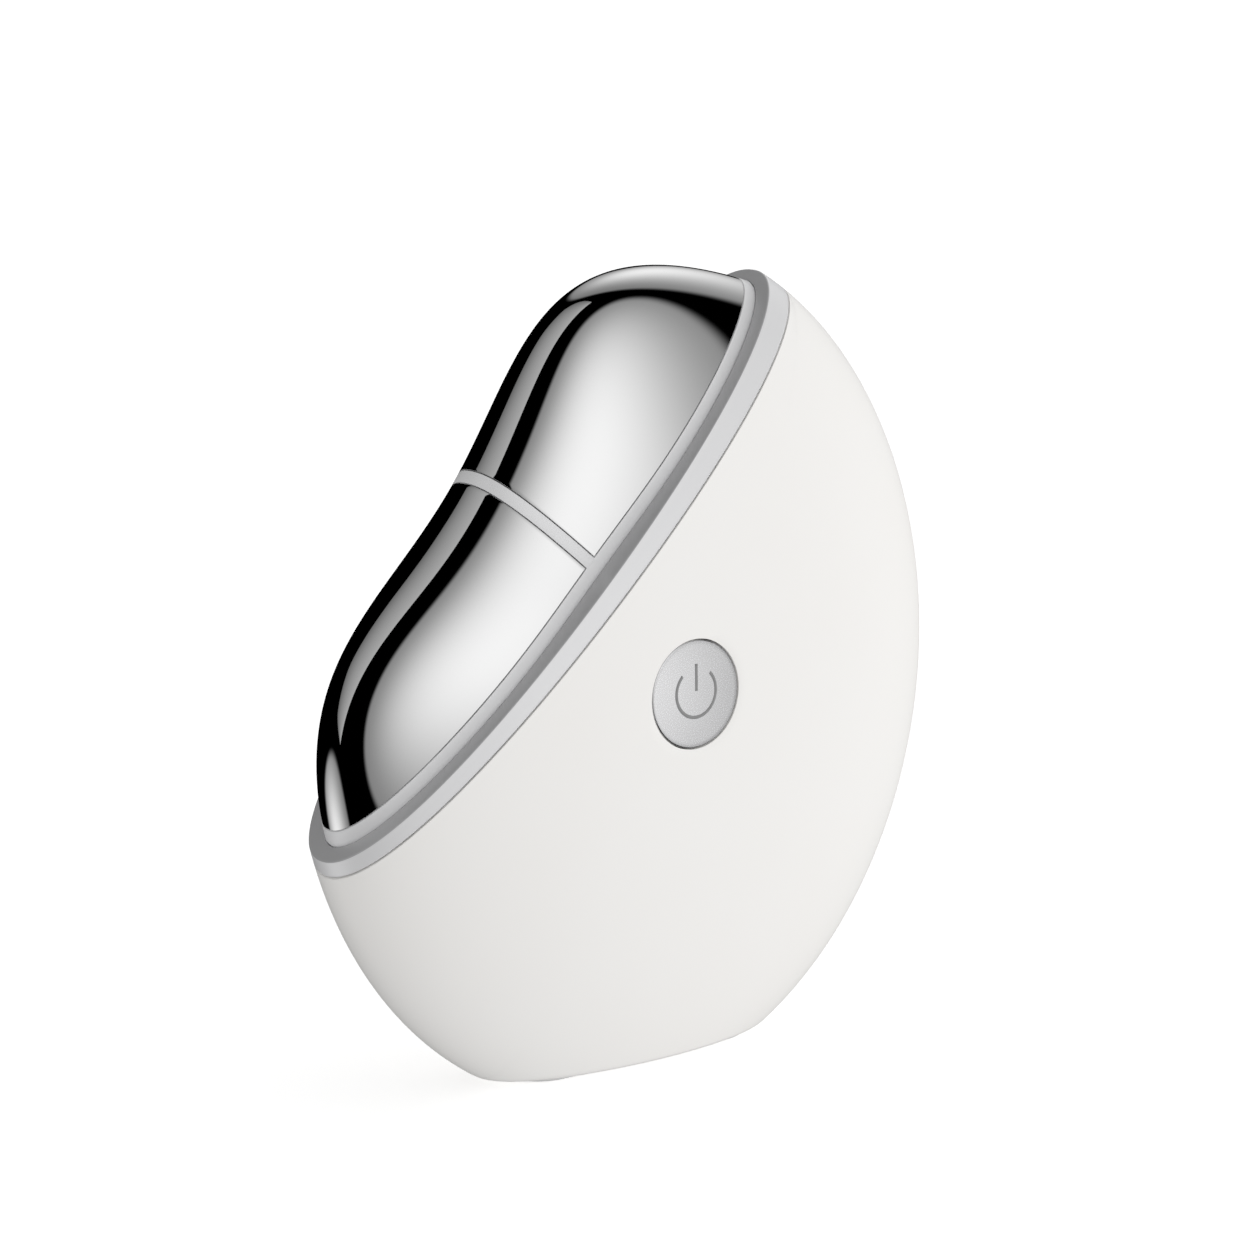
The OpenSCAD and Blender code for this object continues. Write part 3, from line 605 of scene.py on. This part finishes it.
# the trim ring on the slanted cut, and the dome in it, in millimetres
trim = {
    "bottom": 0.15,  # over the cut
    "height": 2.42,  # of the top face over the cut, at its middle
    "tilt": 1.17,  # of the top face against the cut, in degrees
    "skirt": -2.4,
    "skirtFit": 0.08,  # from the wall's inner skin to the skirt
    "fit": 0.06,  # from the hole to the dome's outline
    "columns": 360,
    "sideRows": 9,
    "topRows": (0.1, 0.5, 0.9),  # shares of the way from the side to the hole
    # painted shade: the top face's darker grey, and how far it wraps the edge
    "topShadeTone": "#b9b9ba",
    "shadeEdge": 0.1,  # how far the top's painted shade runs down over the edge
}
dome = {
    "length": 72.9,
    "width": 20.15,
    "middle": 1.97,
    "waist": (0.072, 2.54, 11.2),  # share of the width taken in, place and spread
    "ridge": (20.0, 9.3),  # height at the middle and rise to the upper end
    "ends": (5.6, 2.4),  # exponents of the lower and upper end's rounding
    "saddle": (0.36, 1.1, 24.2),  # share of the height taken in, place and spread
    "arch": (2.31, 0.95),  # exponents of the cross-section
    "lip": 1.4,
    "gap": 0.14,
    "shell": 0.9,
    "band": (1.56, 1.28),  # place and width of the separator band
}


def fromCut(points):
    # along the slant, across and above the cut, to x, y, z
    return turned(points + [0, 0, oval["cutDistance"]], oval["cutTilt"]) + centre


def fromRing(points):
    # along the slant, across and above the ring's top face, to x, y, z
    return fromCut(turned(points, trim["tilt"]) + [0, 0, trim["height"]])


def sliceOutline(height, rise, inset, turn):
    # the oval's outline in a plane at that height over the cut, climbing by rise along the slant:
    # its two ends solve a quadratic, and the half width follows from the radius between them
    a, b, t = ovalSize(inset)
    c, s = math.cos(math.radians(oval["cutTilt"])), math.sin(math.radians(oval["cutTilt"]))
    k, n = b / a, oval["fullness"]
    level = oval["cutDistance"] + height
    xWay, x0 = (c - rise * s) * k, -level * s * k
    zWay, z0 = s + rise * c, level * c
    size, half = xWay ** 2 + zWay ** 2, xWay * x0 + zWay * z0
    root = math.sqrt(half ** 2 - size * (x0 ** 2 + z0 ** 2 - b ** 2))
    low, high = (-half - root) / size, (-half + root) / size
    along = (low + high) / 2 - (high - low) / 2 * np.cos(turn)
    radius = np.hypot(x0 + xWay * along, z0 + zWay * along)
    width = t * np.maximum(1 - (radius / b) ** n, 0) ** (1 / n)
    return fromCut(np.stack([along, -np.sign(np.sin(turn)) * width, height + rise * along], -1))


def halfWidth(s, inset=0.0):
    # half of an ellipse with a shallow waist
    t = np.clip((s - dome["middle"]) / (dome["length"] / 2 - inset), -1, 1)
    taken, place, spread = dome["waist"]
    waist = 1 - taken * np.exp(-((s - place) / spread) ** 2)
    return (dome["width"] / 2 * waist - inset) * np.sqrt(1 - t * t)


def ridgeHeight(s, inset=0.0):
    # a rising line with a saddle, rounded off at both ends
    t = np.clip((s - dome["middle"]) / (dome["length"] / 2 - inset), -1, 1)
    taken, place, spread = dome["saddle"]
    height, rise = dome["ridge"]
    ends = 1 - np.abs(t) ** np.where(t < 0, *dome["ends"])
    return (height + rise * t - inset) * ends * (1 - taken * np.exp(-((s - place) / spread) ** 2))


def archHeight(u):
    # share of the ridge's height at that share of the half width: both are powers, as in the oval
    bend, top = dome["arch"]
    return np.maximum(0, 1 - np.abs(u) ** bend) ** top


def archPlace(part):
    # the share of the half width at which the arch has come down to that share of its height
    bend, top = dome["arch"]
    return np.maximum(0, 1 - np.clip(part, 0, 1) ** (1 / top)) ** (1 / bend)


def domeEnd(height, side, inset=0.0):
    # place along the slant where the ridge comes down to that height, found by halving
    low, high = 0.5, 1.0
    for _ in range(40):
        mid = (low + high) / 2
        s = dome["middle"] + side * mid * (dome["length"] / 2 - inset)
        low, high = (mid, high) if ridgeHeight(np.array(s), inset) > height else (low, mid)
    return dome["middle"] + side * low * (dome["length"] / 2 - inset)


def domeOutline(off, turn, height=0.0):
    # the dome's foot on the ring, grown by off
    s = dome["middle"] - (dome["length"] / 2 + off) * np.cos(turn)
    return np.stack([s, -np.sign(np.sin(turn)) * halfWidth(s, -off), np.full(len(turn), height)], -1)


def trimRing(material):
    # round the oval's outline: up the side in slices that tilt more and more, in over the top face,
    # down the hole, and up the skirt inside the wall
    turn = np.linspace(0, 2 * np.pi, trim["columns"], endpoint=False)
    rise = math.tan(math.radians(trim["tilt"]))
    wall = [sliceOutline(trim["bottom"] + (trim["height"] - trim["bottom"]) * v, rise * v, 0, turn)
            for v in np.linspace(0, 1, trim["sideRows"])]
    hole = fromRing(domeOutline(trim["fit"], turn))
    top = [wall[-1] + (hole - wall[-1]) * v for v in trim["topRows"]]
    under = fromRing(domeOutline(trim["fit"], turn, trim["skirt"] - trim["height"]))
    inset = oval["wall"] + trim["skirtFit"]
    skirt = [sliceOutline(trim["skirt"], 0, inset, turn), sliceOutline(trim["bottom"], 0, inset, turn)]
    rows = np.stack([*wall, *top, hole, under, *skirt, wall[0]])
    return makePiece("trimRing", [ring(rows)], "housing", material, "trim_ring", bevel=0.13)


def ringMaterial():
    # Silver-painted ABS with painted shade on its top face: the top is coloured a darker satin grey
    # that stands in for the dark studio it reflects.
    # The painted shade begins a little below the top face's plane, so it wraps the rounded edge.
    material = grainMaterial("silverPaintShadedTop", {
        "tone": "#eaeaeb", "otherTone": "#e7e7e8", "cloudSize": 8, "grainSize": 0.12,
        "grainDepth": 0.003, "bump": 0.2, "roughness": 0.4, "roughSpread": 0.03, "metallic": 0.24})
    tree, shader, place = reopen(material)
    light = shader.inputs["Base Color"].links[0].from_socket
    up = fromRing(np.array([0, 0, 1.0])) - fromRing(np.zeros(3))
    level = fromRing(np.zeros(3)) @ up * mm
    # painted shade mask: height over the top face's plane picks where the darker grey goes
    height = addNode(tree, "VectorMath", {"operation": "DOT_PRODUCT", 1: up}, i0=place)
    top = addNode(tree, "MapRange", {
        "From Min": level - trim["shadeEdge"] * mm, "From Max": level - trim["shadeEdge"] * mm * 0.6},
        Value=height.outputs["Value"])
    tone = addNode(tree, "Mix", {"data_type": "RGBA", 7: linearColour(trim["topShadeTone"])},
                   i0=top.outputs[0], i6=light)
    tree.links.new(tone.outputs[2], shader.inputs["Base Color"])
    return material


trimRing(ringMaterial())

head = {
    "rows": 150,
    "columns": 110,
    "lipLevels": 5,
    "plugFit": 0.02,  # from the dome's outline in to the plug's side
    "plugBottom": -5.6,
    "plugTop": -0.3,
    "plugWall": 1.4,
    "hollow": 2.6,  # from the dome's surface in to the hollow
    "coreFit": 0.15,  # between the electrodes' inner skin and the core
    "bandClear": 0.1,  # the nearest that another row comes to the band
}


def archRow(s, inset, height, columns):
    # one row of points across the dome, from that height over the ridge and down to it again
    h = ridgeHeight(s, inset)
    edge = archPlace(height / np.maximum(h, 1e-9))
    u = -edge[:, None] * np.cos(np.linspace(0, np.pi, columns + 1))
    return np.stack([np.repeat(s[:, None], columns + 1, 1), u * halfWidth(s, inset)[:, None],
                     h[:, None] * archHeight(u)], -1)


def electrode(name, node, side, material):
    # a shell under the dome's surface: outer skin, inner skin, and the rims between them
    place, width = dome["band"]
    edge = place + side * (width / 2 + dome["gap"])
    skins = []
    for inset in (0.0, dome["shell"]):
        tip = domeEnd(dome["lip"] + tiny, side, inset)
        s = edge + (tip - edge) * np.sin(np.linspace(0, np.pi / 2, head["rows"] + 1))
        skins.append(fromRing(archRow(s, inset, dome["lip"], head["columns"])))
    outer, inner = skins
    grids = [ring(np.concatenate([outer, inner[:, ::-1]], 1)), bridge(outer[0], inner[0]),
             bridge(outer[-1], inner[-1])]
    return makePiece(name, grids, "housing", material, node, bevel=0.05, bevelAngle=40)


def carrier(material):
    # Each row runs across the head: up the plug's side, up the lip, in over its ledge, over the
    # core, and back, then up and down again inside. On the band's rows the core rises to the
    # electrodes' surface.
    n = head
    half = dome["length"] / 2
    place, width = dome["band"]
    low, high = place - width / 2, place + width / 2
    s = dome["middle"] - half * np.cos(np.linspace(0, np.pi, n["rows"] + 1))
    s = s[(s < low - n["bandClear"]) | (s > high + n["bandClear"])]
    s = np.sort(np.concatenate([s, [low, low, place, high, high]]))
    isBand = (s >= low) & (s <= high)
    first = int(np.argmax(isBand))
    isBand[first] = isBand[first + 4] = False  # the outer copies of the band's edges are core rows
    turn = np.arccos(np.clip((dome["middle"] - s) / half, -1, 1))
    ledge = dome["lip"] - dome["gap"]

    def between(inset, height):
        low, high = domeEnd(height, -1, inset), domeEnd(height, 1, inset)
        return (low + high) / 2 - (high - low) / 2 * np.cos(turn)

    def levelSide(inset, height):
        place = between(inset, height)
        y = halfWidth(place, inset) * archPlace(height / np.maximum(ridgeHeight(place, inset), 1e-9))
        return np.stack([place, -y, np.full(len(s), height)], -1)

    def plugSide(off, height):
        place = dome["middle"] - (half + off) * np.cos(turn)
        return np.stack([place, -halfWidth(place, -off), np.full(len(s), height)], -1)

    def over(inset, height):
        rows = archRow(between(inset, height), inset, height, n["columns"])
        rows[[0, -1], :, 1] = 0
        return rows

    levels = ledge * np.linspace(0, 1, n["lipLevels"] + 1)
    levels[0] = tiny
    left = np.stack([plugSide(-n["plugFit"], n["plugBottom"]), plugSide(-n["plugFit"], n["plugTop"]),
                     *(levelSide(0, h) for h in levels)], 1)
    top = over(dome["shell"] + n["coreFit"], ledge)
    top[isBand] = archRow(s, 0, ledge, n["columns"])[isBand]
    inLeft = np.stack([plugSide(-n["plugWall"], n["plugBottom"]), levelSide(n["hollow"], tiny)], 1)
    under = over(n["hollow"], tiny)
    mirror = np.array([1, -1, 1])
    loop = np.concatenate([left, top, left[:, ::-1] * mirror, inLeft * mirror, under[:, ::-1],
                           inLeft[:, ::-1]], 1)
    loop[[0, -1], :, 1] = 0
    return makePiece("electrodeCarrier", [ring(fromRing(loop))], "housing", material,
                     "electrode_carrier", bevel=0.06)


carrier(silverPaint)
electrode("upperElectrode", "upper_electrode", 1, brightChrome)
electrode("lowerElectrode", "lower_electrode", -1, brightChrome)
print("head made")

button = {
    "radius": 5.47,
    "front": -12.54,
    "crown": 0.17,  # the face's rim lies this much deeper than its middle
    "chamfer": (0.13, 0.05),  # width and depth
    "flange": (6.45, 1.85, 2.75),  # radius, front and back
    "stem": (1.6, 6.4),  # radius and end
    "markRadius": 2.52,
    "markCentre": 0.2,  # how far the arc's centre is above the button's
    "markWidth": 0.33,
    "markGap": 44,
    "markProud": 0.012,
    "markDepth": 0.3,
    "bar": (0.36, 3.08),
}


def crownDepth(r):
    # the face falls away from its middle as the square of the radius
    return button["crown"] * (r / button["radius"]) ** 2


def lathe(profile, columns):
    # a profile of radius and depth, turned about the button's axis
    turn = np.linspace(0, 2 * np.pi, columns, endpoint=False)
    r, depth = np.asarray(profile).T
    return np.stack([buttonHole["x"] + r[:, None] * np.cos(turn),
                     button["front"] + depth[:, None] + 0 * turn,
                     oval["centreZ"] + r[:, None] * np.sin(turn)], -1)


def buttonCap(material):
    # the crowned face, its chamfer, the side, the flange and the stem
    b = button
    chamferWidth, chamferDepth = b["chamfer"]
    edge = b["radius"] - chamferWidth
    face = [(r, crownDepth(r)) for r in np.linspace(0, edge, 16)]
    flangeR, flangeFront, flangeBack = b["flange"]
    stemR, stemEnd = b["stem"]
    rest = [(b["radius"], crownDepth(edge) + chamferDepth), (b["radius"], flangeFront),
            (flangeR, flangeFront), (flangeR, flangeBack), (stemR, flangeBack), (stemR, stemEnd),
            (0, stemEnd)]
    return makePiece("powerButton", [ring(lathe(face + rest, 160))], "power_button", material,
                     "power_button", bevel=0.02, bevelAngle=30)


def buttonMaterial():
    # Aluminium, blasted and anodised pale, then chamfered with a diamond tool: the face is satin,
    # and past the chamfer's inner edge the metal is bare and bright
    s = {"tone": "#e6e6e7", "otherTone": "#e2e2e3", "cloudSize": 3, "grainSize": 0.1,
         "grainDepth": 0.002, "bump": 0.05, "roughness": 0.27, "roughSpread": 0.02}
    material = grainMaterial("anodisedAluminiumBrightEdge", s)
    tree, shader, place = reopen(material)
    satin = shader.inputs["Roughness"].links[0].from_socket
    flat = addNode(tree, "VectorMath", {"operation": "MULTIPLY", 1: (1, 0, 1)}, i0=place)
    axis = (buttonHole["x"] * mm, 0, oval["centreZ"] * mm)
    radius = addNode(tree, "VectorMath", {"operation": "DISTANCE", 1: axis},
                     i0=flat.outputs[0])
    edge = (button["radius"] - button["chamfer"][0]) * mm
    cut = addNode(tree, "MapRange", {"From Min": edge, "From Max": edge + 0.02 * mm},
                  Value=radius.outputs["Value"])
    metal = addNode(tree, "Mix", {"data_type": "FLOAT", 2: 0.5, 3: 1.0},
                    i0=cut.outputs[0])
    rough = addNode(tree, "Mix", {"data_type": "FLOAT", 3: 0.1}, i0=cut.outputs[0],
                    i2=satin)
    tree.links.new(metal.outputs[0], shader.inputs["Metallic"])
    tree.links.new(rough.outputs[0], shader.inputs["Roughness"])
    return material


def markStroke(path, side):
    # a flat bar along a path on the button's face, just proud of it; side is the path's left
    w = button["markWidth"] / 2
    rows = []
    for across, depth in ((-w, 0), (w, 0), (w, button["markDepth"]), (-w, button["markDepth"])):
        p = path + side * across
        lift = crownDepth(np.hypot(p[:, 0], p[:, 1])) - button["markProud"]
        rows.append(np.stack([p[:, 0] + buttonHole["x"], button["front"] + lift + depth,
                              p[:, 1] + oval["centreZ"]], -1))
    loop = np.stack(rows, 1)
    caps = [(end[[0, 1, 3, 2]].reshape(2, 2, 3), None) for end in (loop[0], loop[-1])]
    return [ring(loop), *caps]


def powerMark(material):
    # an arc that is open at the top, and a bar from its middle up through the opening
    gap = math.radians(button["markGap"])
    turn = np.linspace(math.pi / 2 + gap, math.pi * 5 / 2 - gap, 90)
    out = np.stack([np.cos(turn), np.sin(turn)], -1)
    low, high = button["bar"]
    bar = np.stack([np.zeros(8), np.linspace(low, high, 8)], -1)
    arc = out * button["markRadius"] + [0, button["markCentre"]]
    grids = markStroke(arc, out) + markStroke(bar, np.array([[1.0, 0.0]]))
    return makePiece("powerMark", grids, "power_button", material, "power_symbol")


buttonCap(buttonMaterial())
powerMark(greyInk)
print("button made")

# what the CAD models carry over: materials by the record's slots
insideMaterials = {
    # each has its name, two tones, its roughness and what differs from insideGrain
    # moulded silicone, soft and matt
    "grey_silicone": ("greySilicone", "#cfcfcf", "#c6c6c6", 0.7, {}),
    "dark_silicone": ("darkSilicone", "#6f6f70", "#696969", 0.7, {}),
    # glass-filled nylon, moulded: black with a grey bloom
    "black_nylon": ("glassFilledNylon", "#2b2b2d", "#3a3a3c", 0.55,
                    {"grainSize": 0.4, "grainDepth": 0.02}),
    "black_plastic": ("blackPbtPlastic", "#161617", "#1e1e1f", 0.5, {}),
    "white_plastic": ("whiteNylonPlastic", "#ece8de", "#e4dfd2", 0.5, {}),
    # cast epoxy over the lamp, clear and slightly yellow
    "clear_epoxy": ("clearCastEpoxy", "#fff6d6", "#f7ecc4", 0.12, {"ior": 1.54}),
    # fired ceramic, biscuit brown and finely speckled
    "ceramic_tan": ("firedCeramic", "#a98a62", "#96754f", 0.6, {"cloudSize": 0.5}),
    "ferrite": ("sinteredFerrite", "#2a2a2b", "#3b3a39", 0.65,
                {"cloudSize": 0.7, "grainSize": 0.15, "grainDepth": 0.02}),
    # aluminium pouch foil, faintly creased
    "cell_foil": ("pouchFoil", "#c9ccd1", "#bfc2c7", 0.35,
                  {"grainSize": 3.0, "grainDepth": 0.15, "metallic": 1.0}),
    # open foam tape, pale yellow with small cells
    "foam": ("foamTape", "#dfdc9a", "#c9c582", 0.9,
             {"grainSize": 0.3, "grainDepth": 0.15, "bump": 0.8}),
    # PVC wire insulation, extruded: smooth and slightly shiny
    "black_wire": ("blackPvc", "#17171a", "#1f1f22", 0.4, {}),
    "blue_wire": ("bluePvc", "#26409a", "#20378a", 0.4, {}),
    "red_wire": ("redPvc", "#a8281f", "#98221b", 0.4, {}),
    # moulded rubber with a dusty bloom
    "black_rubber": ("blackRubber", "#1c1c1c", "#2b2b2a", 0.8, {"cloudSize": 3}),
    # deep-drawn steel, bright and faintly streaked
    "steel": ("drawnSteel", "#c8c8cb", "#b6b6ba", 0.28, {"cloudSize": 1.0, "metallic": 1.0}),
    # pressed and sintered tungsten alloy, dark and granular
    "tungsten": ("sinteredTungsten", "#77777b", "#66666a", 0.5,
                 {"grainSize": 0.1, "grainDepth": 0.02, "metallic": 1.0}),
    # zinc-plated screw steel with a blue cast
    "screw_steel": ("zincPlatedSteel", "#c2c6cc", "#aeb2ba", 0.33,
                    {"cloudSize": 0.6, "metallic": 1.0}),
    # gold-flashed brass spring contacts
    "brass": ("goldFlashedBrass", "#dcb65e", "#cda24a", 0.22, {"cloudSize": 1.5, "metallic": 1.0}),
}
insideGrain = {"cloudSize": 6, "grainSize": 0.2, "grainDepth": 0.008, "bump": 0.4,
               "roughSpread": 0.05}


def boardMaterial():
    # FR4 board under green solder mask: copper tracks on a fine square pitch show through, paler
    material, tree, shader, place = newMaterial("greenSolderMask")
    pitch = 0.6  # mm from track to track
    wander = addNode(tree, "TexVoronoi", {
        "distance": "MANHATTAN", "feature": "DISTANCE_TO_EDGE", "Scale": 1 / (3 * pitch * mm)},
        Vector=place)
    track = addNode(tree, "MapRange", {"From Min": 0.06, "From Max": 0.09},
                    Value=wander.outputs["Distance"])
    s = {"tone": "#2f7f52", "otherTone": "#145c38", "bump": 0.5, "grainDepth": 0.02}
    colourAndBump(tree, shader, s, track.outputs[0], track.outputs[0])
    shader.inputs["Roughness"].default_value = 0.3
    return material


def windingMaterial():
    # enamelled copper wire wound turn on turn: bands of one wire's thickness, rounded as bump
    material, tree, shader, place = newMaterial("enamelledCopperWinding")
    wire = 0.15  # mm
    turns = addNode(tree, "TexWave", {"bands_direction": "Y", "Scale": 0.314 / (wire * mm),
                                      "Distortion": 0.3}, Vector=place).outputs["Fac"]
    s = {"tone": "#7c4019", "otherTone": "#c9773a", "bump": 0.8, "grainDepth": wire / 2}
    colourAndBump(tree, shader, s, turns, turns)
    shader.inputs["Roughness"].default_value = 0.3
    shader.inputs["Metallic"].default_value = 1.0
    return material


def finishCarriedNodes():
    finish = {}
    for slot, (name, tone, otherTone, roughness, more) in insideMaterials.items():
        finish[slot] = grainMaterial(name, {
            **insideGrain, "tone": tone, "otherTone": otherTone, "roughness": roughness, **more})
    finish["circuit_board"] = boardMaterial()
    finish["copper"] = windingMaterial()
    for part in frame["record"]["subparts"]:
        node = nodes[part["node"]]
        if node.hide_render:
            continue
        node.data.materials.clear()
        node.data.materials.append(finish[part["material_slot"]])


finishCarriedNodes()
print("carried nodes finished")

# the studio: panels of light that only show in reflections, a pale floor and a white surround
softBoxes = [
    # azimuth and elevation aim a flat panel; the rest is on the panel, as shares of its distance
    {"name": "mainBox", "aim": (3, 20), "place": (-0.095, -0.226), "half": (0.966, 1.175),
     "turn": -48.2, "centre": 1.0, "edge": 0.23, "hot": (-0.03, 0.11), "spread": 0.53},
    {"name": "backBox", "aim": (115, 40), "place": (0.07, 0.27), "half": (0.78, 0.76),
     "turn": 0, "centre": 0.93, "edge": 0.17, "hot": (0.0, -0.215), "spread": 0.64},
    {"name": "lowBox", "aim": (-112, -17), "place": (0.01, -0.35), "half": (0.685, 0.56),
     "turn": -14.7, "centre": 0.95, "edge": 0.06, "hot": (-0.12, 0.0), "spread": 0.79},
    {"name": "buttonBox", "aim": (32, -14), "place": (0, 0), "half": (0.34, 0.3),
     "turn": 0, "centre": 1.38, "edge": 0.12, "hot": (-0.26, 0.18), "spread": 0.78},
]
strip = {
    # overhead, from the left round to the back: its straight front edge, then its far edge
    "front": ((-1, 0, 0), (0, -0.2, 1)),
    "far": ((-0.998, 0.044, 0.035), (-0.866, 0.45, 0.216), (-0.54, 0.70, 0.46),
            (-0.31, 0.67, 0.676), (-0.2, 0.6, 1), (0, -0.2, 1)),
    "grey": (0.141, 0.42),  # at the far and the front edge
}
studio = {
    "distance": 2.2,
    "surround": 1.3,
    "ambient": 1.32,
    "slant": (0.7, -0.16, -0.065),  # how much brighter the light is along each axis
    "bend": (0.44, -0.15, -0.72),  # and with its square: more from the sides, less from above
    "floor": 12.0,
    "floorGlow": 0.33,
}


def boxMaterial(s):
    # light that falls off from a hot spot and fades out at the rim, from the panel's own UV map
    material, tree = emptyMaterial(s["name"])
    uv = addNode(tree, "TexCoord").outputs["UV"]
    hot = addNode(tree, "VectorMath", {"operation": "DISTANCE", 1: (*s["hot"], 0)}, i0=uv)
    ratio = addNode(tree, "Math", {"operation": "DIVIDE", 1: s["spread"]},
                    i0=hot.outputs["Value"])
    square = addNode(tree, "Math", {"operation": "POWER", 1: 2.0}, i0=ratio.outputs[0])
    bell = addNode(tree, "Math", {"operation": "POWER", 0: math.exp(-1)},
                   i1=square.outputs[0])
    level = addNode(tree, "MapRange", {"To Min": s["edge"], "To Max": s["centre"]},
                    Value=bell.outputs[0])
    radius = addNode(tree, "VectorMath", {"operation": "LENGTH"}, i0=uv)
    rim = addNode(tree, "MapRange", {
        "interpolation_type": "SMOOTHERSTEP", "From Min": 1.1, "From Max": 0.9},
        Value=radius.outputs["Value"])
    light = addNode(tree, "Math", {"operation": "MULTIPLY"}, i0=level.outputs[0],
                    i1=rim.outputs[0])
    glow = addNode(tree, "Emission", Strength=light.outputs[0])
    addNode(tree, "OutputMaterial", i0=glow.outputs[0])
    return material


def softBox(s):
    # an ellipse of light in a plane square to its aim; its UV map is the place over the half size
    back = directionTo(*s["aim"])
    across = np.array([math.cos(math.radians(s["aim"][0])), math.sin(math.radians(s["aim"][0])), 0])
    up = np.cross(across, back) * -1
    up *= np.sign(up[2])
    r, turn = np.meshgrid(np.linspace(0, 1.1, 8), np.linspace(0, 2 * np.pi, 65), indexing="ij")
    unit = np.stack([r * np.cos(turn), r * np.sin(turn)], -1)
    c, d = math.cos(math.radians(s["turn"])), math.sin(math.radians(s["turn"]))
    x = s["place"][0] + unit[..., 0] * s["half"][0] * c - unit[..., 1] * s["half"][1] * d
    y = s["place"][1] + unit[..., 0] * s["half"][0] * d + unit[..., 1] * s["half"][1] * c
    points = np.array(cameraSet["target"]) + studio["distance"] * (
        back + x[..., None] * across + y[..., None] * up)
    return lightPanel(s["name"], points, unit, boxMaterial(s))


def lightPanel(name, points, unit, material):
    # a grid of points that lights and reflects but isn't seen, with unit as its UV map
    quads = gridQuads(points.shape).reshape(-1, 4)
    mesh = bpy.data.meshes.new(name)
    mesh.from_pydata(points.reshape(-1, 3).tolist(), [], quads.tolist())
    uv = mesh.uv_layers.new(name="place")
    uv.data.foreach_set("uv", unit.reshape(-1, 2)[quads.ravel()].ravel())
    panel = bpy.data.objects.new(name, mesh)
    scene.collection.objects.link(panel)
    mesh.materials.append(material)
    panel.visible_camera = panel.visible_diffuse = panel.visible_shadow = False
    return panel


def stripLight(s):
    # a sheet of light on a sphere round the object: across from its far to its front edge
    t = np.linspace(0, 1, 41)
    far = np.array(s["far"], float)
    far /= np.linalg.norm(far, axis=1, keepdims=True)
    step = np.concatenate([[0], np.cumsum(np.linalg.norm(np.diff(far, axis=0), axis=1))])
    far = np.stack([np.interp(t * step[-1], step, far[:, i]) for i in range(3)], -1)
    start, end = (np.array(v) / np.linalg.norm(v) for v in s["front"])
    front = start + (end - start) * t[:, None]
    u = np.linspace(0, 1, 17)[:, None, None]
    points = far + (front - far) * u
    points /= np.linalg.norm(points, axis=-1, keepdims=True)
    points = np.array(cameraSet["target"]) + studio["distance"] * points
    place = np.stack([np.broadcast_to(u[..., 0], points.shape[:2]),
                      np.broadcast_to(t, points.shape[:2])], -1)
    material, tree = emptyMaterial("stripLight")
    uv = addNode(tree, "SeparateXYZ", i0=addNode(tree, "TexCoord").outputs["UV"])
    grey = addNode(tree, "MapRange", {"To Min": s["grey"][0], "To Max": s["grey"][1]},
                   Value=uv.outputs["X"])
    glow = addNode(tree, "Emission", Strength=grey.outputs[0])
    addNode(tree, "OutputMaterial", i0=glow.outputs[0])
    lightPanel("stripBox", points, place, material)


def makeWorld(s):
    # white behind the object, soft light from all round, and darkness in the reflections
    world = bpy.data.worlds.new("studio")
    world.use_nodes = True
    tree = world.node_tree
    tree.nodes.clear()
    ray = addNode(tree, "LightPath")
    way = addNode(tree, "TexCoord").outputs["Generated"]
    lean = addNode(tree, "VectorMath", {"operation": "DOT_PRODUCT", 1: s["slant"]}, i0=way)
    square = addNode(tree, "VectorMath", {"operation": "MULTIPLY"}, i0=way, i1=way)
    bend = addNode(tree, "VectorMath", {"operation": "DOT_PRODUCT", 1: s["bend"]},
                   i0=square.outputs[0])
    even = addNode(tree, "Math", {"operation": "ADD", 1: s["ambient"]},
                   i0=lean.outputs["Value"])
    soft = addNode(tree, "Math", {"operation": "ADD"}, i0=even.outputs[0],
                   i1=bend.outputs["Value"])
    dark = addNode(tree, "Mix", {"data_type": "FLOAT", 3: 0.0},
                   i0=ray.outputs["Is Glossy Ray"], i2=soft.outputs[0])
    seen = addNode(tree, "Mix", {"data_type": "FLOAT", 3: s["surround"]},
                   i0=ray.outputs["Is Camera Ray"], i2=dark.outputs[0])
    back = addNode(tree, "Background", Strength=seen.outputs[0])
    addNode(tree, "OutputWorld", i0=back.outputs[0])
    world.cycles.sampling_method = "NONE"  # so that mirrors don't take light from the soft part
    scene.world = world


def makeFloor(s):
    # a square on the ground that glows a little, so that it comes out white
    half = s["floor"] / 2
    mesh = bpy.data.meshes.new("floor")
    mesh.from_pydata([(-half, -half, 0), (half, -half, 0), (half, half, 0), (-half, half, 0)], [],
                     [(0, 1, 2, 3)])
    floor = bpy.data.objects.new("floor", mesh)
    scene.collection.objects.link(floor)
    material, _, shader, _ = newMaterial("paleFloor")
    shader.inputs["Base Color"].default_value = linearColour("#fdfdfd")
    shader.inputs["Roughness"].default_value = 0.9
    shader.inputs["Specular IOR Level"].default_value = 0.0
    shader.inputs["Emission Color"].default_value = (1, 1, 1, 1)
    shader.inputs["Emission Strength"].default_value = s["floorGlow"]
    mesh.materials.append(material)
    floor.visible_glossy = floor.visible_diffuse = False


for s in softBoxes:
    softBox(s)
stripLight(strip)
makeWorld(studio)
makeFloor(studio)
print("studio lit")
